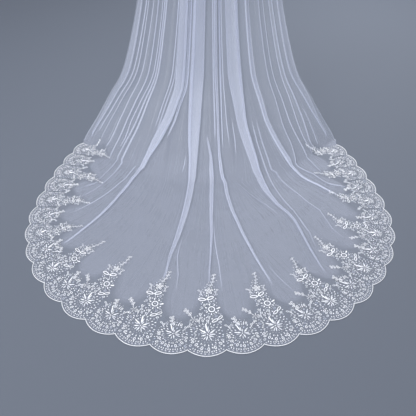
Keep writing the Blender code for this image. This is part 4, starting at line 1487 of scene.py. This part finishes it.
def wrapPath():
    # thread drawn tight round heading and spine, once through every gap of the comb
    size = headingPiece
    clear, corner = size["wrapClear"], size["wrapCorner"]
    front, tall = combPiece["spineHalfY"] + clear, combPiece["spineHalfZ"]
    back, low, high = size["farY"] - clear - size["gatherDepth"], size["bottomZ"], size["topZ"]
    near, far = size["nearY"], size["farY"] + corner
    ring = np.array([(front, tall), (front, -tall), (near, low - clear), (far, low - clear),
                     (back, low + corner), (back, high - corner), (far, high + clear),
                     (near, high + clear), (front, tall)])
    reach = distances(ring)
    loop = sampled(ring, reach, np.linspace(0.0, reach[-1], 33)[:-1])
    for _ in range(2):
        loop = (np.roll(loop, 1, axis=0) + 2.0 * loop + np.roll(loop, -1, axis=0)) * 0.25
    # it crosses to the next gap over the last three quarters of each turn
    share = np.maximum(np.arange(len(loop)) / len(loop) - 0.25, 0.0) / 0.75
    turns = []
    for gap in range(combPiece["teeth"] - 1):
        x = -combPiece["halfWidth"] + (2 * gap + 1.5) * toothPitch
        advance = 2.0 * toothPitch if gap < combPiece["teeth"] - 2 else 0.0
        turns.append(np.column_stack([x + advance * share, loop]))
    return np.concatenate(turns)


def satinMaterial():
    look = satinFinish
    material, tree, shader = newMaterial("satinBinding", look)
    place = objectPlace(tree)
    weave = addNode(tree, "ShaderNodeTexWave", {"Vector": place, **look["weave"]})
    addBump(tree, shader, weave.outputs["Fac"], *look["bump"])
    patch = noise(tree, place, look["patchScale"], 2.0)
    tree.links.new(mapRange(tree, patch, *usualNoise, *look["roughs"]), shader.inputs["Roughness"])
    return material


def makeComb():
    size = combPiece
    metal = texturedMaterial("combMetal", metalFinish)
    xs = np.linspace(-size["halfWidth"], size["halfWidth"], size["spineColumns"] + 1)
    sections = [roundedRing(size["spineHalfY"] * fullness(size, x), size["spineHalfZ"] * fullness(size, x),
                            size["spineRing"], size["squareness"]) for x in xs]
    rows = [(0, (-size["halfWidth"] + (2 * k + 0.5) * toothPitch) * 1000.0, size["toothFrom"], 0.0, 1.0, 1.0)
            for k in range(size["teeth"])]
    teeth = scatterUpright("tooth", rows, combTooth(), metal)
    return stitchedObject("metalComb", [readMesh(barMesh("spine", xs, sections)), teeth], metal)


def makeBinding(thread):
    size = headingPiece
    count = int(size["halfWidth"] * 2.0 / size["stitchSpacing"]) - 1
    rows = [(0, (index - (count - 1) * 0.5) * size["stitchSpacing"] * 1000.0, -level * 1000.0,
             0.06 * math.sin(index * 2.1), 1.0, 1.0)
            for level in size["stitchLevels"] for index in range(count)]
    points, sizes, corners, marks = scatterUpright("seam", rows, seamStitch(), thread)
    points[:, 1] = size["farY"] - points[:, 1] + size["stitchAbove"]
    return [makeHeading(satinMaterial()),
            stitchedObject("headingStitches", [(points, sizes, corners, marks)], thread),
            windPath("combThread", wrapPath(), size["wrapRadius"], size["wrapSpacing"] * 0.9,
                     size["wrapSpacing"], size["wrapRadius"] * 0.7, thread)]


setPiece(makeComb(), "comb", "comb")
for piece in makeBinding(cordThread):
    setPiece(piece, "binding", "gathered_heading")
print("heading and comb set")
